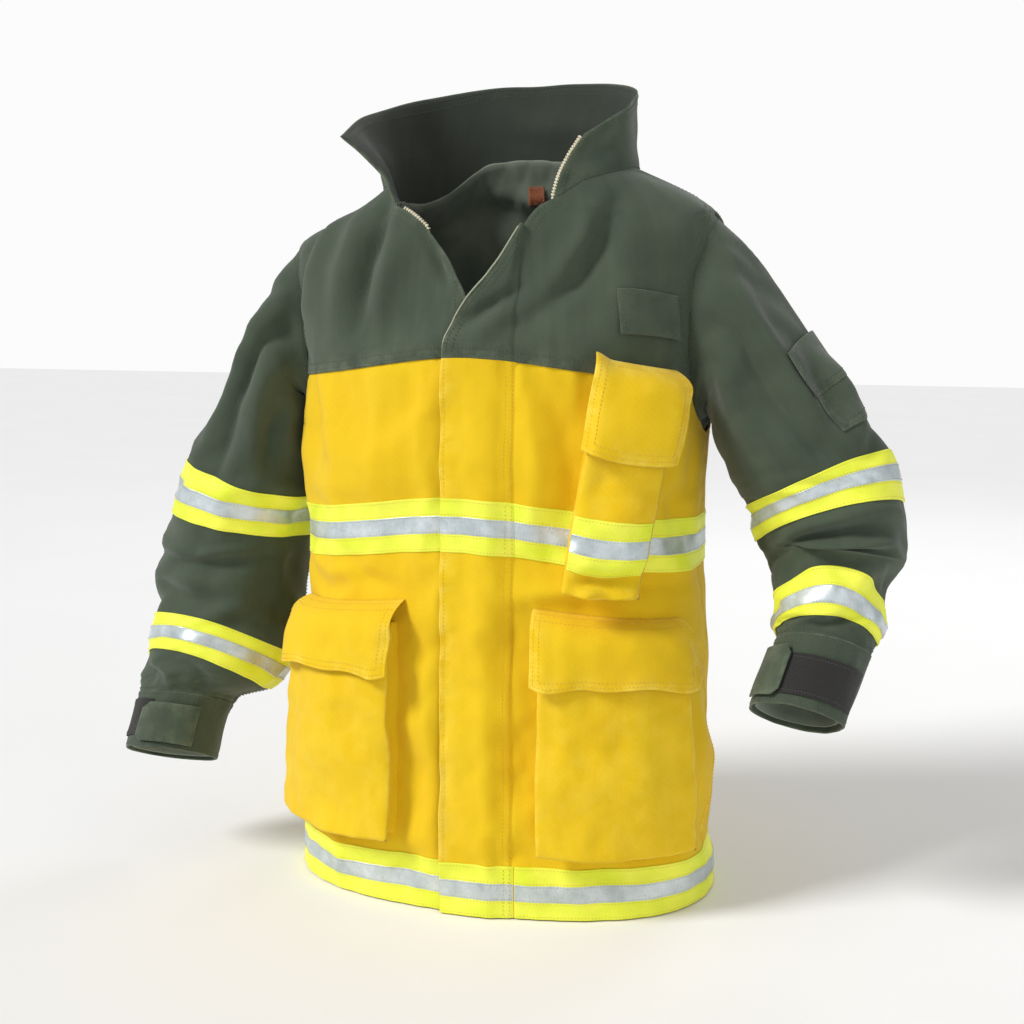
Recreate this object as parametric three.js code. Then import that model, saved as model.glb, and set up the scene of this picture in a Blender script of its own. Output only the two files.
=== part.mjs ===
// A firefighter's turnout coat, standing as if worn: outer shell, yoke, collar, quilted liner, zip with a
// storm flap over it, two bellows hand pockets, a radio pocket, and two-part sleeves with strapped cuffs.
// Millimetres. +Z is up, -Y is the front and +X is the wearer's left. The origin is under the middle of the
// coat's overall width and depth, on the plane that the hem stands on.
import * as THREE from "three";
import { mergeVertices } from "three/addons/utils/BufferGeometryUtils.js";

// ---- Driving dimensions ------------------------------------------------------------------------------

const HEM_MIDDLE = [1.5, 13.1]; // x and y of the middle of the hem opening; the shapes below are laid out round it

// The body's cross-sections: height, half width, depth to the front, depth to the back.
const SECTIONS = [
  [0, 236, 150, 142],
  [210, 228, 146.4, 138],
  [430, 218, 142.6, 131],
  [560, 224, 140.4, 131],
  [640, 231, 137, 132],
  [743, 240, 118, 124],
  [775, 234, 107, 116],
  [798, 207, 99, 109],
  [820, 165, 93, 102],
  [838, 126, 88, 97],
];
const ROUNDNESS = 2.3; // exponent of the superellipse that each section is
const SIDE_SAG = 27; // how far the height lines sag at the sides
const NECK_SAG = 33; // and how much lower the neckline is at the back
const NECK_H = 838; // the collar seam
const YOKE_H = 593; // the seam between the body and the yoke
const FRONT_DEG = 3.1; // the edge of each front panel, beside the zip
const SEAM_GAP = 0.6;
const COLLAR_LIFT = 3.6; // the collar's own seam, over the neckline

// The neck opening: how far round the body its edge is, at each height.
const NECK_EDGE = [
  [500, FRONT_DEG],
  [570, FRONT_DEG],
  [605, 6.5],
  [660, 18],
  [712, 27],
  [766, 39],
  [805, 47],
  [838, 52],
];
// The armhole is an ellipse in height and angle, centred on the side of the body.
const ARMHOLE = { h: 657, halfHeight: 122, halfDeg: 15 };

// Layers, as distances out from the body surface.
const LABEL = [-10, -9.2];
const LINER = [-8.4, -4.6];
const ZIP_TAPE = [-2.8, -1.2];
const SHELL = [0, 2.4];
const PILE = [3.4, 4.6]; // hook and loop strips sewn on the shell
const TRIM = [3.6, 4.8];
const STORM_FLAP = [11, 13.4];

const WAIST_TRIM = [390, 446];
const HEM_TRIM = [1, 57];
const ZIP_TOP_H = 566; // where the closed stretch of the zip ends
const FLAP_X = [-22, 58]; // the storm flap's free edge and its seam
const FLAP_DIAGONAL = [596, 716]; // its top edge climbs to the seam between these heights
const FLAP_TRIM_LIFT = 3.6; // from the storm flap's inside to the trim on it

const HAND_POCKET = { h: [78, 314], depth: 28 };
const HAND_FLAP_H = [252, 338];
const RADIO_POCKET = { deg: 46, lean: 0.046, half: 11.6, h: [368, 586], depth: 36 };
const RADIO_FLAP_H = [512, 606];
const MIC_TAB = { deg: [53, 71], h: [636, 684] };
const POCKET_FOOT = 3.6; // height of a pocket's seam over the body surface
const RADIO_FOOT = 6.6; // the radio pocket is sewn on over the waist trim
const MIC_TAB_LIFT = 5.2;
const POCKET_FLANGE = 5;
const CLOTH = 1.8;

// Each sleeve's sections, from the shoulder to the end of the cuff: the inner side's x and z, the outer
// side's x and z, the middle's y, and half the front-to-back depth.
const SLEEVES = {
  left: {
    side: 1,
    elbowCutDeg: 20, // how far each half is cut back in front, to leave room for bending
    rows: [
      [232, 535, 292, 674, 2, 82],
      [243, 498, 347, 604, 4, 82],
      [262, 462, 404, 530, 6, 80],
      [276, 436, 430, 474, 8, 78],
      [294, 394, 440, 402, 4, 74],
      [304, 366, 430, 368, -8, 66],
      [308, 318, 420, 318, -32, 58],
      [312, 295, 410, 285, -46, 51],
      [294, 231, 388, 219, -84, 49],
    ],
  },
  right: {
    side: -1,
    elbowCutDeg: 25,
    rows: [
      [231, 538, 285, 650, 2, 82],
      [236, 488, 338, 558, 4, 82],
      [242, 440, 390, 462, 6, 80],
      [252, 392, 420, 398, 8, 78],
      [262, 340, 432, 332, 8, 78],
      [262, 268, 430, 262, -14, 74],
      [272, 216, 440, 212, -36, 70],
      [328, 178, 436, 176, -50, 54],
      [338, 119, 442, 117, -77, 52],
    ],
  },
};
const ARMHOLE_RING = 0; // a sleeve's stations: this one, then one for each row
const UPPER_TRIM = [3.1, 4.35];
const ELBOW = 5;
const LOWER_TRIM = [6.05, 6.95];
const CUFF = 8;
const SLEEVE_END = 9;
const CUFF_GAP = 0.02; // in stations
const SLEEVE_WALL = [-2.2, 0];
const SLEEVE_LINER = [-7, -4.4];
const SLEEVE_TRIM = [1, 2.2];
const CUFF_TAB = [3.2, 5];
const SLEEVE_POCKET = [2.4, 5.4];
const SLEEVE_POCKET_FLAP = [6.6, 8.4];
const ELBOW_CUT_BEHIND_DEG = 5;
const AROUND = 18; // facets round a sleeve
const STEP_DEG = 12; // spacing of the panels' columns

const GREEN = { color: 0x4c5a4c, roughness: 0.9 };
const GOLD = { color: 0xe0b428, roughness: 0.9 };
const LIME = { color: 0xd9ee3a, roughness: 0.6 };
const LINING = { color: 0x2f3531, roughness: 0.95 };
const BLACK = { color: 0x1b1b1c, roughness: 0.95 };
const IVORY = { color: 0xe6dcc0, roughness: 0.5 };
const RUST = { color: 0xa8552a, roughness: 0.8 };
const BRASS = { color: 0xb08d57, roughness: 0.35, metalness: 1 };

// ---- Curves and surfaces -----------------------------------------------------------------------------

const { clamp, degToRad, lerp } = THREE.MathUtils;
const vec = (...p) => new THREE.Vector3(...p);

// One column of a table whose rows start with x, read at x along a smooth curve.
function along(rows, column, x) {
  const last = rows.length - 1;
  let i = 0;
  while (i < last - 1 && x > rows[i + 1][0]) i++;
  const slope = (k) => {
    const a = rows[Math.max(k - 1, 0)];
    const b = rows[Math.min(k + 1, last)];
    return (b[column] - a[column]) / (b[0] - a[0]);
  };
  const [p, q] = [rows[i], rows[i + 1]];
  const span = q[0] - p[0];
  const t = clamp((x - p[0]) / span, 0, 1);
  const t2 = t * t;
  const t3 = t2 * t;
  return (
    (2 * t3 - 3 * t2 + 1) * p[column] +
    (t3 - 2 * t2 + t) * span * slope(i) +
    (3 * t2 - 2 * t3) * q[column] +
    (t3 - t2) * span * slope(i + 1)
  );
}

// A point on the body. The angle is 0 at the front, 90 at the wearer's left side and 180 at the back.
function bodySurface(deg, h) {
  const s = Math.sin(degToRad(deg));
  const c = Math.cos(degToRad(deg));
  const across = Math.abs(s / along(SECTIONS, 1, h)) ** ROUNDNESS;
  const deep = Math.abs(c / along(SECTIONS, c > 0 ? 2 : 3, h)) ** ROUNDNESS;
  const r = (across + deep) ** (-1 / ROUNDNESS);
  const sag = SIDE_SAG * s * s * clamp(h / 400, 0, 1);
  const neckSag = NECK_SAG * (0.5 - 0.5 * c) * clamp((h - 600) / (NECK_H - 600), 0, 1);
  return vec(r * s, -r * c, h - sag - neckSag);
}

// The same, moved out by a distance. Near the hem it moves level, so that the hem stays flat.
function body(deg, h, distance) {
  const across = bodySurface(deg + 0.5, h).sub(bodySurface(deg - 0.5, h));
  const up = bodySurface(deg, h + 1).sub(bodySurface(deg, h - 1));
  const out = across.cross(up);
  out.z *= clamp(h / 300, 0, 1);
  return bodySurface(deg, h).addScaledVector(out.normalize(), distance);
}

// The angle of a point that is x to the side of the front centre.
const degAt = (x, h) => THREE.MathUtils.radToDeg(Math.atan2(x, along(SECTIONS, 2, h)));

// How far, in degrees, the armhole cuts into a panel at this height.
function armholeDeg(h) {
  const t = (h - ARMHOLE.h) / ARMHOLE.halfHeight;
  return Math.abs(t) < 1 ? ARMHOLE.halfDeg * Math.sqrt(1 - t * t) : 0;
}

// A sleeve's section: its middle and its half axes, outwards and forwards.
function section(sleeve, row) {
  const middle = ([ix, iz, ox, oz, y]) => vec((ix + ox) / 2, y, (iz + oz) / 2);
  const { rows } = sleeve;
  const [ix, iz, ox, oz, , depth] = rows[row];
  const before = middle(rows[Math.max(row - 1, 0)]);
  const after = middle(rows[Math.min(row + 1, rows.length - 1)]);
  const outwards = vec(ox - ix, 0, oz - iz).multiplyScalar(0.5);
  const forwards = after.sub(before).cross(outwards).normalize().multiplyScalar(depth);
  return { middle: middle(rows[row]), outwards, forwards };
}

// A point on a sleeve: 0 degrees is its outer side and 90 its front.
function sleevePoint(sleeve, station, deg, distance) {
  const s = Math.sin(degToRad(deg));
  const c = Math.cos(degToRad(deg));
  const at = (k) => {
    if (k === ARMHOLE_RING) {
      const halfDeg = ARMHOLE.halfDeg + distance / 4;
      const halfHeight = ARMHOLE.halfHeight + distance;
      return body(90 - halfDeg * s, ARMHOLE.h + halfHeight * c, SHELL[1] + 1.2);
    }
    const { middle, outwards, forwards } = section(sleeve, k - 1);
    const widen = (axis) => axis.clone().setLength(axis.length() + distance);
    return middle.addScaledVector(widen(outwards), c).addScaledVector(widen(forwards), s);
  };
  const k = Math.min(Math.floor(station), SLEEVE_END - 1);
  const p = at(k).lerp(at(k + 1), station - k);
  p.x *= sleeve.side;
  return p;
}

// ---- Building blocks ---------------------------------------------------------------------------------

// Welds a bent solid and turns its faces to point outwards.
function solid(geometry) {
  geometry.deleteAttribute("normal");
  geometry.deleteAttribute("uv");
  const welded = mergeVertices(geometry, 1e-4);
  const p = welded.attributes.position;
  const index = welded.index;
  const corner = (k) => vec().fromBufferAttribute(p, index.getX(k));
  let volume = 0;
  for (let k = 0; k < index.count; k += 3) {
    volume += corner(k).dot(corner(k + 1).cross(corner(k + 2)));
  }
  if (volume < 0) {
    for (let k = 0; k < index.count; k += 3) {
      const swapped = index.getX(k);
      index.setX(k, index.getX(k + 1));
      index.setX(k + 1, swapped);
    }
  }
  welded.computeVertexNormals();
  return welded;
}

// A closed panel: place(u, v, face) gives its points, where face is 0 inside and 1 outside.
function sheet(columns, rows, place) {
  const [nu, nv] = [columns.length - 1, rows.length - 1];
  const geometry = new THREE.BoxGeometry(nu, nv, 1, nu, nv, 1);
  // The box splits its inside face's quads along the other diagonal: turn them, so that layers stay parallel.
  const { index } = geometry;
  const inside = geometry.groups[5];
  for (let k = inside.start; k < inside.start + inside.count; k += 6) {
    index.setX(k + 2, index.getX(k + 4));
    index.setX(k + 3, index.getX(k));
  }
  const p = geometry.attributes.position;
  for (let k = 0; k < p.count; k++) {
    const i = Math.round(p.getX(k) + nu / 2);
    const j = Math.round(p.getY(k) + nv / 2);
    const q = place(columns[i], rows[j], p.getZ(k) > 0 ? 1 : 0, i, j);
    p.setXYZ(k, q.x, q.y, q.z);
  }
  return solid(geometry);
}

// A closed tube with a wall: place(row, around, face), where around runs from 0 to 1.
function tube(rows, place) {
  const n = rows.length;
  const geometry = new THREE.TorusGeometry(2, 1, 2 * n, AROUND);
  const { position: p, uv } = geometry.attributes;
  for (let k = 0; k < p.count; k++) {
    const side = Math.round(uv.getY(k) * 2 * n) % (2 * n);
    const around = (Math.round(uv.getX(k) * AROUND) % AROUND) / AROUND;
    const q = side < n ? place(rows[side], around, 1) : place(rows[2 * n - 1 - side], around, 0);
    p.setXYZ(k, q.x, q.y, q.z);
  }
  return solid(geometry);
}

const coat = new THREE.Group();
coat.name = "turnout_coat";
const worn = new THREE.Group();
worn.position.set(HEM_MIDDLE[0], HEM_MIDDLE[1], 0);
coat.add(worn);

function add(name, look, geometry) {
  const mesh = new THREE.Mesh(geometry, new THREE.MeshStandardMaterial(look));
  mesh.name = name;
  worn.add(mesh);
}

// Panels are laid out from the front edge (0) to the side (1), with columns at fixed angles.
function columnsBetween(from, to) {
  const columns = [from];
  for (let deg = Math.ceil(from / STEP_DEG + 0.3) * STEP_DEG; deg < to - 4; deg += STEP_DEG) columns.push(deg);
  columns.push(to);
  return columns.map((deg) => (deg - from) / (to - from));
}

// Adds the wearer's left and right copies of a piece whose points are given for the left.
function addPair(name, look, columns, rows, place) {
  for (const [suffix, side] of [["right", -1], ["left", 1]]) {
    const mirrored = (...key) => {
      const p = place(...key);
      return p.setX(p.x * side);
    };
    add(`${name}_${suffix}`, look, sheet(columns, rows, mirrored));
  }
}

const FRONT_COLUMNS = columnsBetween(FRONT_DEG, 90);
const BACK_COLUMNS = columnsBetween(90, 270);

function addFronts(name, look, rows, layer, inset = 0) {
  addPair(name, look, FRONT_COLUMNS, rows, (u, h, face) => {
    const from = along(NECK_EDGE, 1, h) + inset;
    const to = 90 - 0.25 - armholeDeg(h);
    return body(lerp(from, to, u), h, layer[face]);
  });
}

function addBack(name, look, rows, layer) {
  const place = (u, h, face) => {
    const edge = 90 + 0.25 + armholeDeg(h);
    return body(lerp(edge, 360 - edge, u), h, layer[face]);
  };
  add(name, look, sheet(BACK_COLUMNS, rows, place));
}

// ---- Shell and liner ---------------------------------------------------------------------------------

const BODY_ROWS = [0, 210, 430, 520, 536, 552, 572, YOKE_H - SEAM_GAP];
const YOKE_ROWS = [YOKE_H + SEAM_GAP, 640, 690, 735, 760, 776, 790, 805, 820, NECK_H];
const LINER_ROWS = [24, 210, 430, 530, 552, 600, 660, 712, 760, 776, 795, 815, NECK_H - 4];

addFronts("front_panel", GOLD, BODY_ROWS, SHELL);
addBack("back_panel", GOLD, BODY_ROWS, SHELL);
addFronts("yoke_front", GREEN, YOKE_ROWS, SHELL);
addBack("yoke_back", GREEN, YOKE_ROWS, SHELL);
addFronts("liner_front", LINING, LINER_ROWS, LINER, 4);
addBack("liner_back", LINING, LINER_ROWS, LINER);

add("neck_label", RUST, sheet([168, 180, 192], [778, 810], (deg, h, face) => body(deg, h, LABEL[face])));

// The collar stands on the neckline from one neck edge round the back to the other, and leans outwards.
const collarTop = new THREE.CatmullRomCurve3([
  vec(156, -64, 866),
  vec(160, -8, 884),
  vec(118, 72, 892),
  vec(0, 112, 893),
  vec(-118, 72, 888),
  vec(-160, -14, 868),
  vec(-154, -92, 836),
]);
function collarPoint(u, v, distance) {
  const edge = NECK_EDGE[NECK_EDGE.length - 1][1];
  const at = (a, b) => {
    const foot = bodySurface(lerp(edge, 360 - edge, a), NECK_H);
    foot.z += COLLAR_LIFT;
    return foot.lerp(collarTop.getPoint(a), b);
  };
  const a = clamp(u, 0.01, 0.99);
  const across = at(a + 0.01, v).sub(at(a - 0.01, v));
  const up = at(a, 1).sub(at(a, 0));
  return at(u, v).addScaledVector(across.cross(up).normalize(), distance);
}
const COLLAR_COLUMNS = Array.from({ length: 17 }, (_, k) => k / 16);
add("collar", GREEN, sheet(COLLAR_COLUMNS, [0, 0.5, 1], (u, v, face) => collarPoint(u, v, SHELL[face])));
add("collar_lining", LINING, sheet(COLLAR_COLUMNS, [0.02, 0.5, 0.98], (u, v, face) =>
  collarPoint(u, v, face ? -0.6 : -2.6)));

// A loop to hang the coat by, arched over the back of the yoke.
add("hang_loop", GREEN, sheet([-1, -0.8, -0.4, 0.4, 0.8, 1], [786, 800], (u, h, face) => {
  const rise = [3.4, 6, 9, 9, 6, 3.4][[-1, -0.8, -0.4, 0.4, 0.8, 1].indexOf(u)];
  return body(180 + 16 * u, h, rise + CLOTH * face);
}));

// ---- Zip ---------------------------------------------------------------------------------------------

// Both zip halves run up the front centre and then along the edges of the neck opening.
const ZIP_ROWS = [22, 210, 430, ZIP_TOP_H, 605, 660, 712, 766, 805, NECK_H - 4];
const zipX = (h) => {
  const edge = along(NECK_EDGE, 1, h);
  return h <= ZIP_TOP_H ? 0 : bodySurface(edge, h).x - bodySurface(FRONT_DEG, h).x;
};
function zipPoint(x, h, distance) {
  const shift = degAt(zipX(h) + x, h);
  return body(shift, h, distance);
}
addPair("zip_tape", LINING, [3.6, 20], ZIP_ROWS, (x, h, face) => zipPoint(x, h, ZIP_TAPE[face]));
addPair("zip_teeth", IVORY, [0.4, 3], ZIP_ROWS, (x, h, face) => zipPoint(x, h, face ? 1 : -2.8));
add("zip_slider", BRASS, sheet([-6, 6], [538, 562], (x, h, face) => {
  const p = bodySurface(degAt(x, 550), h);
  return p.setY(p.y - (face ? 5.4 : 3));
}));
add("zip_pull", BRASS, sheet([-3.5, 3.5], [506, 544], (x, h, face) => {
  const p = bodySurface(degAt(x, 550), h);
  return p.setY(p.y - (face ? 7.6 : 6.2));
}));

// ---- Storm flap --------------------------------------------------------------------------------------

const flapPoint = (x, h, distance) => body(degAt(x, h), h, distance);
const FLAP_COLUMNS = [0, 0.25, 0.5, 0.75, 0.9, 1];
// The flap lies level over the zip and comes down to the front panel at its seam.
const flapLift = (u) => (u < 1 ? STORM_FLAP[0] : PILE[0]);
function flapEdge(h) {
  const climb = clamp((h - FLAP_DIAGONAL[0]) / (FLAP_DIAGONAL[1] - FLAP_DIAGONAL[0]), 0, 1);
  return lerp(FLAP_X[0] + 10 * Math.min(climb * 8, 1), FLAP_X[1] - 6, climb);
}
const placeFlap = (u, h, face) => flapPoint(lerp(flapEdge(h), FLAP_X[1], u), h, flapLift(u) + 2.4 * face);
add("storm_flap", GOLD, sheet(FLAP_COLUMNS, [1, 210, 430, 560, YOKE_H - SEAM_GAP], placeFlap));
add("storm_flap_yoke", GREEN, sheet(FLAP_COLUMNS, [YOKE_H + SEAM_GAP, 620, 660, 690, 714], placeFlap));
for (const [name, rows] of [["waist", WAIST_TRIM], ["hem", HEM_TRIM]]) {
  add(`storm_flap_${name}_trim`, LIME, sheet([0.01, 0.25, 0.5, 0.75, 0.9], rows, (u, h, face) =>
    flapPoint(lerp(FLAP_X[0], FLAP_X[1], u), h, STORM_FLAP[0] + FLAP_TRIM_LIFT + 1.2 * face)));
}
const STRIP_ROWS = [70, 210, 430, 570];
add("storm_flap_hook_strip", BLACK, sheet([-20, -10], STRIP_ROWS, (x, h, face) =>
  flapPoint(x, h, face ? STORM_FLAP[0] - 0.8 : STORM_FLAP[0] - 2)));
add("placket_loop_strip", BLACK, sheet([-22, -11], STRIP_ROWS, (x, h, face) => flapPoint(x, h, PILE[face])));

// ---- Reflective trim ---------------------------------------------------------------------------------

for (const [name, rows] of [["waist_trim", WAIST_TRIM], ["hem_trim", HEM_TRIM]]) {
  for (const [suffix, side, from] of [["right", -1, 10.4], ["left", 1, 25]]) {
    const columns = columnsBetween(from, 90);
    add(`${name}_${suffix}`, LIME, sheet(columns, rows, (u, h, face) => {
      const p = body(lerp(from, 89.75, u), h, TRIM[face]);
      return p.setX(p.x * side);
    }));
  }
  addBack(`${name}_back`, LIME, rows, TRIM);
}

// ---- Pockets -----------------------------------------------------------------------------------------

// A pouch open at the top. The first and last columns and the bottom row are the feet of its walls.
function pouch(columns, rows, depth, seam, place) {
  const across = [columns[0], ...columns, columns[columns.length - 1]];
  const up = [rows[0], ...rows];
  const last = across.length - 1;
  return (add) => add(across, up, (u, h, face, i, j) => {
    const foot = i === 0 || i === last || j === 0;
    const edge = i <= 1 ? 1 : i >= last - 1 ? -1 : 0;
    const out = i === 0 ? -POCKET_FLANGE : i === last ? POCKET_FLANGE : 0;
    const inset = face ? 0 : CLOTH;
    const x = out + edge * inset;
    const y = (j === 0 ? -POCKET_FLANGE : 0) + (j <= 1 ? inset : 0);
    return place(u, x, h + y, foot ? seam : depth - inset);
  });
}

const MM_TO_DEG = 0.28; // on the body, about where the pockets are
const handPouch = pouch([28, 36, 48, 60, 72], HAND_POCKET.h, HAND_POCKET.depth, POCKET_FOOT, (deg, x, h, d) =>
  body(deg + x * MM_TO_DEG, h, d));
handPouch((columns, rows, place) => addPair("hand_pocket", GOLD, columns, rows, place));

const radioDeg = (u, h) => RADIO_POCKET.deg + (h - RADIO_POCKET.h[0]) * RADIO_POCKET.lean + u * RADIO_POCKET.half;
const radioPouch = pouch([-1, 0, 1], [RADIO_POCKET.h[0], 430, 520, RADIO_POCKET.h[1]], RADIO_POCKET.depth,
  RADIO_FOOT, (u, x, h, d) => body(radioDeg(u, h) + x * MM_TO_DEG, h, d));
radioPouch((columns, rows, place) => add("radio_pocket", GOLD, sheet(columns, rows, place)));
add("radio_pocket_trim", LIME, sheet([-1, 0, 1], [WAIST_TRIM[0], 430, WAIST_TRIM[1]], (u, h, face) =>
  body(radioDeg(u, h), h, RADIO_POCKET.depth + 1 + 1.2 * face)));

// A pocket flap starts at its seam above the pocket, steps out over it, and hangs in front of it.
function flapRows([low, high]) {
  return [low, high - 12, high];
}
const flapDepth = (h, [, high], depth, foot) => (h === high ? foot : depth + 2);
addPair("hand_pocket_flap", GOLD, [26, 36, 48, 60, 72, 74], flapRows(HAND_FLAP_H), (deg, h, face) =>
  body(deg, h, flapDepth(h, HAND_FLAP_H, HAND_POCKET.depth, POCKET_FOOT) + CLOTH * face));
add("radio_pocket_flap", GOLD, sheet([-1.06, 0, 1.06], flapRows(RADIO_FLAP_H), (u, h, face) =>
  body(radioDeg(u, h), h, flapDepth(h, RADIO_FLAP_H, RADIO_POCKET.depth, RADIO_FOOT) + CLOTH * face)));
add("mic_tab", GREEN, sheet([MIC_TAB.deg[0], 62, MIC_TAB.deg[1]], MIC_TAB.h, (deg, h, face) =>
  body(deg, h, MIC_TAB_LIFT + CLOTH * face)));

// ---- Sleeves -----------------------------------------------------------------------------------------

// Where the elbow cut is, as a station: each half is cut back to leave room for bending.
function elbowCut(sleeve, deg, towards) {
  const { middle, forwards } = section(sleeve, ELBOW - 1);
  const next = section(sleeve, ELBOW - 1 + towards).middle;
  const forward = forwards.length() * Math.sin(degToRad(deg));
  const slope = forward > 0 ? Math.tan(degToRad(sleeve.elbowCutDeg)) : -Math.tan(degToRad(ELBOW_CUT_BEHIND_DEG));
  return ELBOW + (towards * (0.4 + forward * slope)) / middle.distanceTo(next);
}

for (const [suffix, sleeve] of Object.entries(SLEEVES)) {
  const ring = (rows, layer) => tube(rows, (station, around, face) => {
    const deg = 360 * around;
    const at = station === "above" ? elbowCut(sleeve, deg, -1) : station === "below" ? elbowCut(sleeve, deg, 1) : station;
    return sleevePoint(sleeve, at, deg, layer[face]);
  });
  const band = (columns, rows, layer) => sheet(columns, rows, (deg, station, face) =>
    sleevePoint(sleeve, station, deg, layer[face]));
  const cuffEnd = SLEEVE_END;
  add(`sleeve_upper_${suffix}`, GREEN, ring([ARMHOLE_RING, 1, 2, 3, 4, "above"], SLEEVE_WALL));
  add(`sleeve_upper_trim_${suffix}`, LIME, ring([UPPER_TRIM[0], 4, UPPER_TRIM[1]], SLEEVE_TRIM));
  add(`sleeve_lower_${suffix}`, GREEN, ring(["below", 6, 7, CUFF - CUFF_GAP], SLEEVE_WALL));
  add(`sleeve_lower_trim_${suffix}`, LIME, ring(LOWER_TRIM, SLEEVE_TRIM));
  add(`sleeve_liner_${suffix}`, LINING, ring([5.6, 6, 7, CUFF, cuffEnd - 0.08], SLEEVE_LINER));
  add(`cuff_${suffix}`, GREEN, ring([CUFF, cuffEnd], SLEEVE_WALL));
  const [strip, tab] = suffix === "left" ? [[20, 40, 60, 80, 100], [80, 100, 120, 140, 160]]
    : [[-20, 0, 20, 40, 60], [40, 60, 80, 100, 120, 140]];
  add(`cuff_loop_strip_${suffix}`, BLACK, band(strip, [8.3, 8.8], [1, 2.2]));
  add(`cuff_tab_${suffix}`, GREEN, band(tab, [8.25, 8.85], CUFF_TAB));
}
const pocketBand = (columns, rows, layer) => sheet(columns, rows, (deg, station, face) =>
  sleevePoint(SLEEVES.left, station, deg, layer[face]));
add("sleeve_pocket_left", GREEN, pocketBand([-20, 0, 20, 40, 60], [2.1, 2.5, 2.95], SLEEVE_POCKET));
add("sleeve_pocket_flap_left", GREEN, pocketBand([-22, 0, 20, 40, 62], [1.8, 2, 2.4], SLEEVE_POCKET_FLAP));

export default coat;
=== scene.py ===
import bpy
import numpy as np
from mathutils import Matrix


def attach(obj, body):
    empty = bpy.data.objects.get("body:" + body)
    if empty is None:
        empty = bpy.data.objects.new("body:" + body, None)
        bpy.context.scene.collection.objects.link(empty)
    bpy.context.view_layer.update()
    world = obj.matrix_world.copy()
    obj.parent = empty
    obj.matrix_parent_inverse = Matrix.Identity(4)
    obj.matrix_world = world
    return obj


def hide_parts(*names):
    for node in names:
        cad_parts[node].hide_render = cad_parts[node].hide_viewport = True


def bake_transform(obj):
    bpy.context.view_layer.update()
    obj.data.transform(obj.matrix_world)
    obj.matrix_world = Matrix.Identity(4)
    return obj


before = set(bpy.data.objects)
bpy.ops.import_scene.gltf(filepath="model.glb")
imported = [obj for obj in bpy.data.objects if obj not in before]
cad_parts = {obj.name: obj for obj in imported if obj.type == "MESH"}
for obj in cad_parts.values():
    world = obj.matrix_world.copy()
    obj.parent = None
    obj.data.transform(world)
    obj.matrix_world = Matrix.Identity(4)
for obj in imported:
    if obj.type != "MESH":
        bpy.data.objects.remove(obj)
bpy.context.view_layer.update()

# A firefighter's turnout coat. Every surface is laid out in millimetres on two smooth forms, the body and the
# sleeves, which carry the folds of the cloth. The layers, pockets, trims and seams all lie on those forms.
# Metres begin where a piece becomes an object. -Y is the front and +X is the wearer's left.

MM = 0.001
HEM_MIDDLE = np.array([1.5, 13.1, 0.0])
rng = np.random.default_rng(7)

# ---- The body form -----------------------------------------------------------------------------------

# height, half width, depth to the front, depth to the back
SECTIONS = np.array([
    [0, 236, 150, 142], [210, 228, 146.4, 138], [430, 218, 142.6, 131], [560, 224, 140.4, 131],
    [640, 231, 137, 132], [743, 240, 118, 124], [775, 234, 107, 116], [798, 207, 99, 109],
    [820, 165, 93, 102], [838, 126, 88, 97]], float)
ROUNDNESS = 2.3
SIDE_SAG = 27
NECK_SAG = 33
NECK_H = 838
YOKE_H = 593
WAIST_H = 418
MM_PER_DEG = 3.6        # round the body, for laying cloth patterns
SHOULDER_DROP = 38      # the wearer's right shoulder hangs lower
# how far round the body the edge of the neck opening is, at each height
NECK_EDGE = {
    "left": np.array([
        [500, 3.1], [570, 3.1], [605, 4.8], [660, 13], [700, 20], [720, 23.6], [740, 27.6], [755, 32.8],
        [766, 39]]),
    "right": np.array([
        [500, 3.1], [570, 3.1], [600, 1.5], [630, 0.0], [651, -0.3], [661, 1.5], [674, 4.8], [692, 9.2],
        [711, 15.7], [731, 23.2], [749, 31.0], [766, 39]]),
}
# height of the collar seam, by degrees round the body
COLLAR_SEAM = {
    "left": np.array([[39, 766], [55, 798], [72, 819], [90, 828], [130, 836], [180, 838]], float),
    "right": np.array([[39, 766], [46, 797], [54, 818], [68, 833], [90, 837], [130, 838], [180, 838]], float),
}
ARMHOLE_H, ARMHOLE_HALF_H, ARMHOLE_HALF_DEG = 657, 122, 15


def along(rows, column, x):
    """One column of a table whose rows start with x, read at x along a smooth curve."""
    xs, ys = rows[:, 0], rows[:, column]
    n = len(xs)
    low, high = np.maximum(np.arange(n) - 1, 0), np.minimum(np.arange(n) + 1, n - 1)
    slope = (ys[high] - ys[low]) / (xs[high] - xs[low])
    i = np.clip(np.searchsorted(xs, x) - 1, 0, n - 2)
    span = xs[i + 1] - xs[i]
    t = np.clip((x - xs[i]) / span, 0, 1)
    return ((2 * t**3 - 3 * t**2 + 1) * ys[i] + (t**3 - 2 * t**2 + t) * span * slope[i]
            + (3 * t**2 - 2 * t**3) * ys[i + 1] + (t**3 - t**2) * span * slope[i + 1])


def smooth(x, a, b):
    t = np.clip((x - a) / (b - a), 0, 1)
    return t * t * (3 - 2 * t)


def unit(v):
    return v / np.maximum(np.linalg.norm(v, axis=-1, keepdims=True), 1e-9)


def mix(a, b, t):
    return a + (b - a) * t


def grid(a, b):
    return np.meshgrid(a, b, indexing="ij")


def path_length(path):
    """How far along a path each of its points is."""
    return np.concatenate([[0], np.cumsum(np.linalg.norm(np.diff(path, axis=0), axis=1))])


def catmull(before, a, b, after, t):
    """A smooth curve from a to b, with a neighbour on each side."""
    bend = 2 * before - 5 * a + 4 * b - after + t * (3 * (a - b) + after - before)
    return a + 0.5 * t * (b - before + t * bend)


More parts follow.
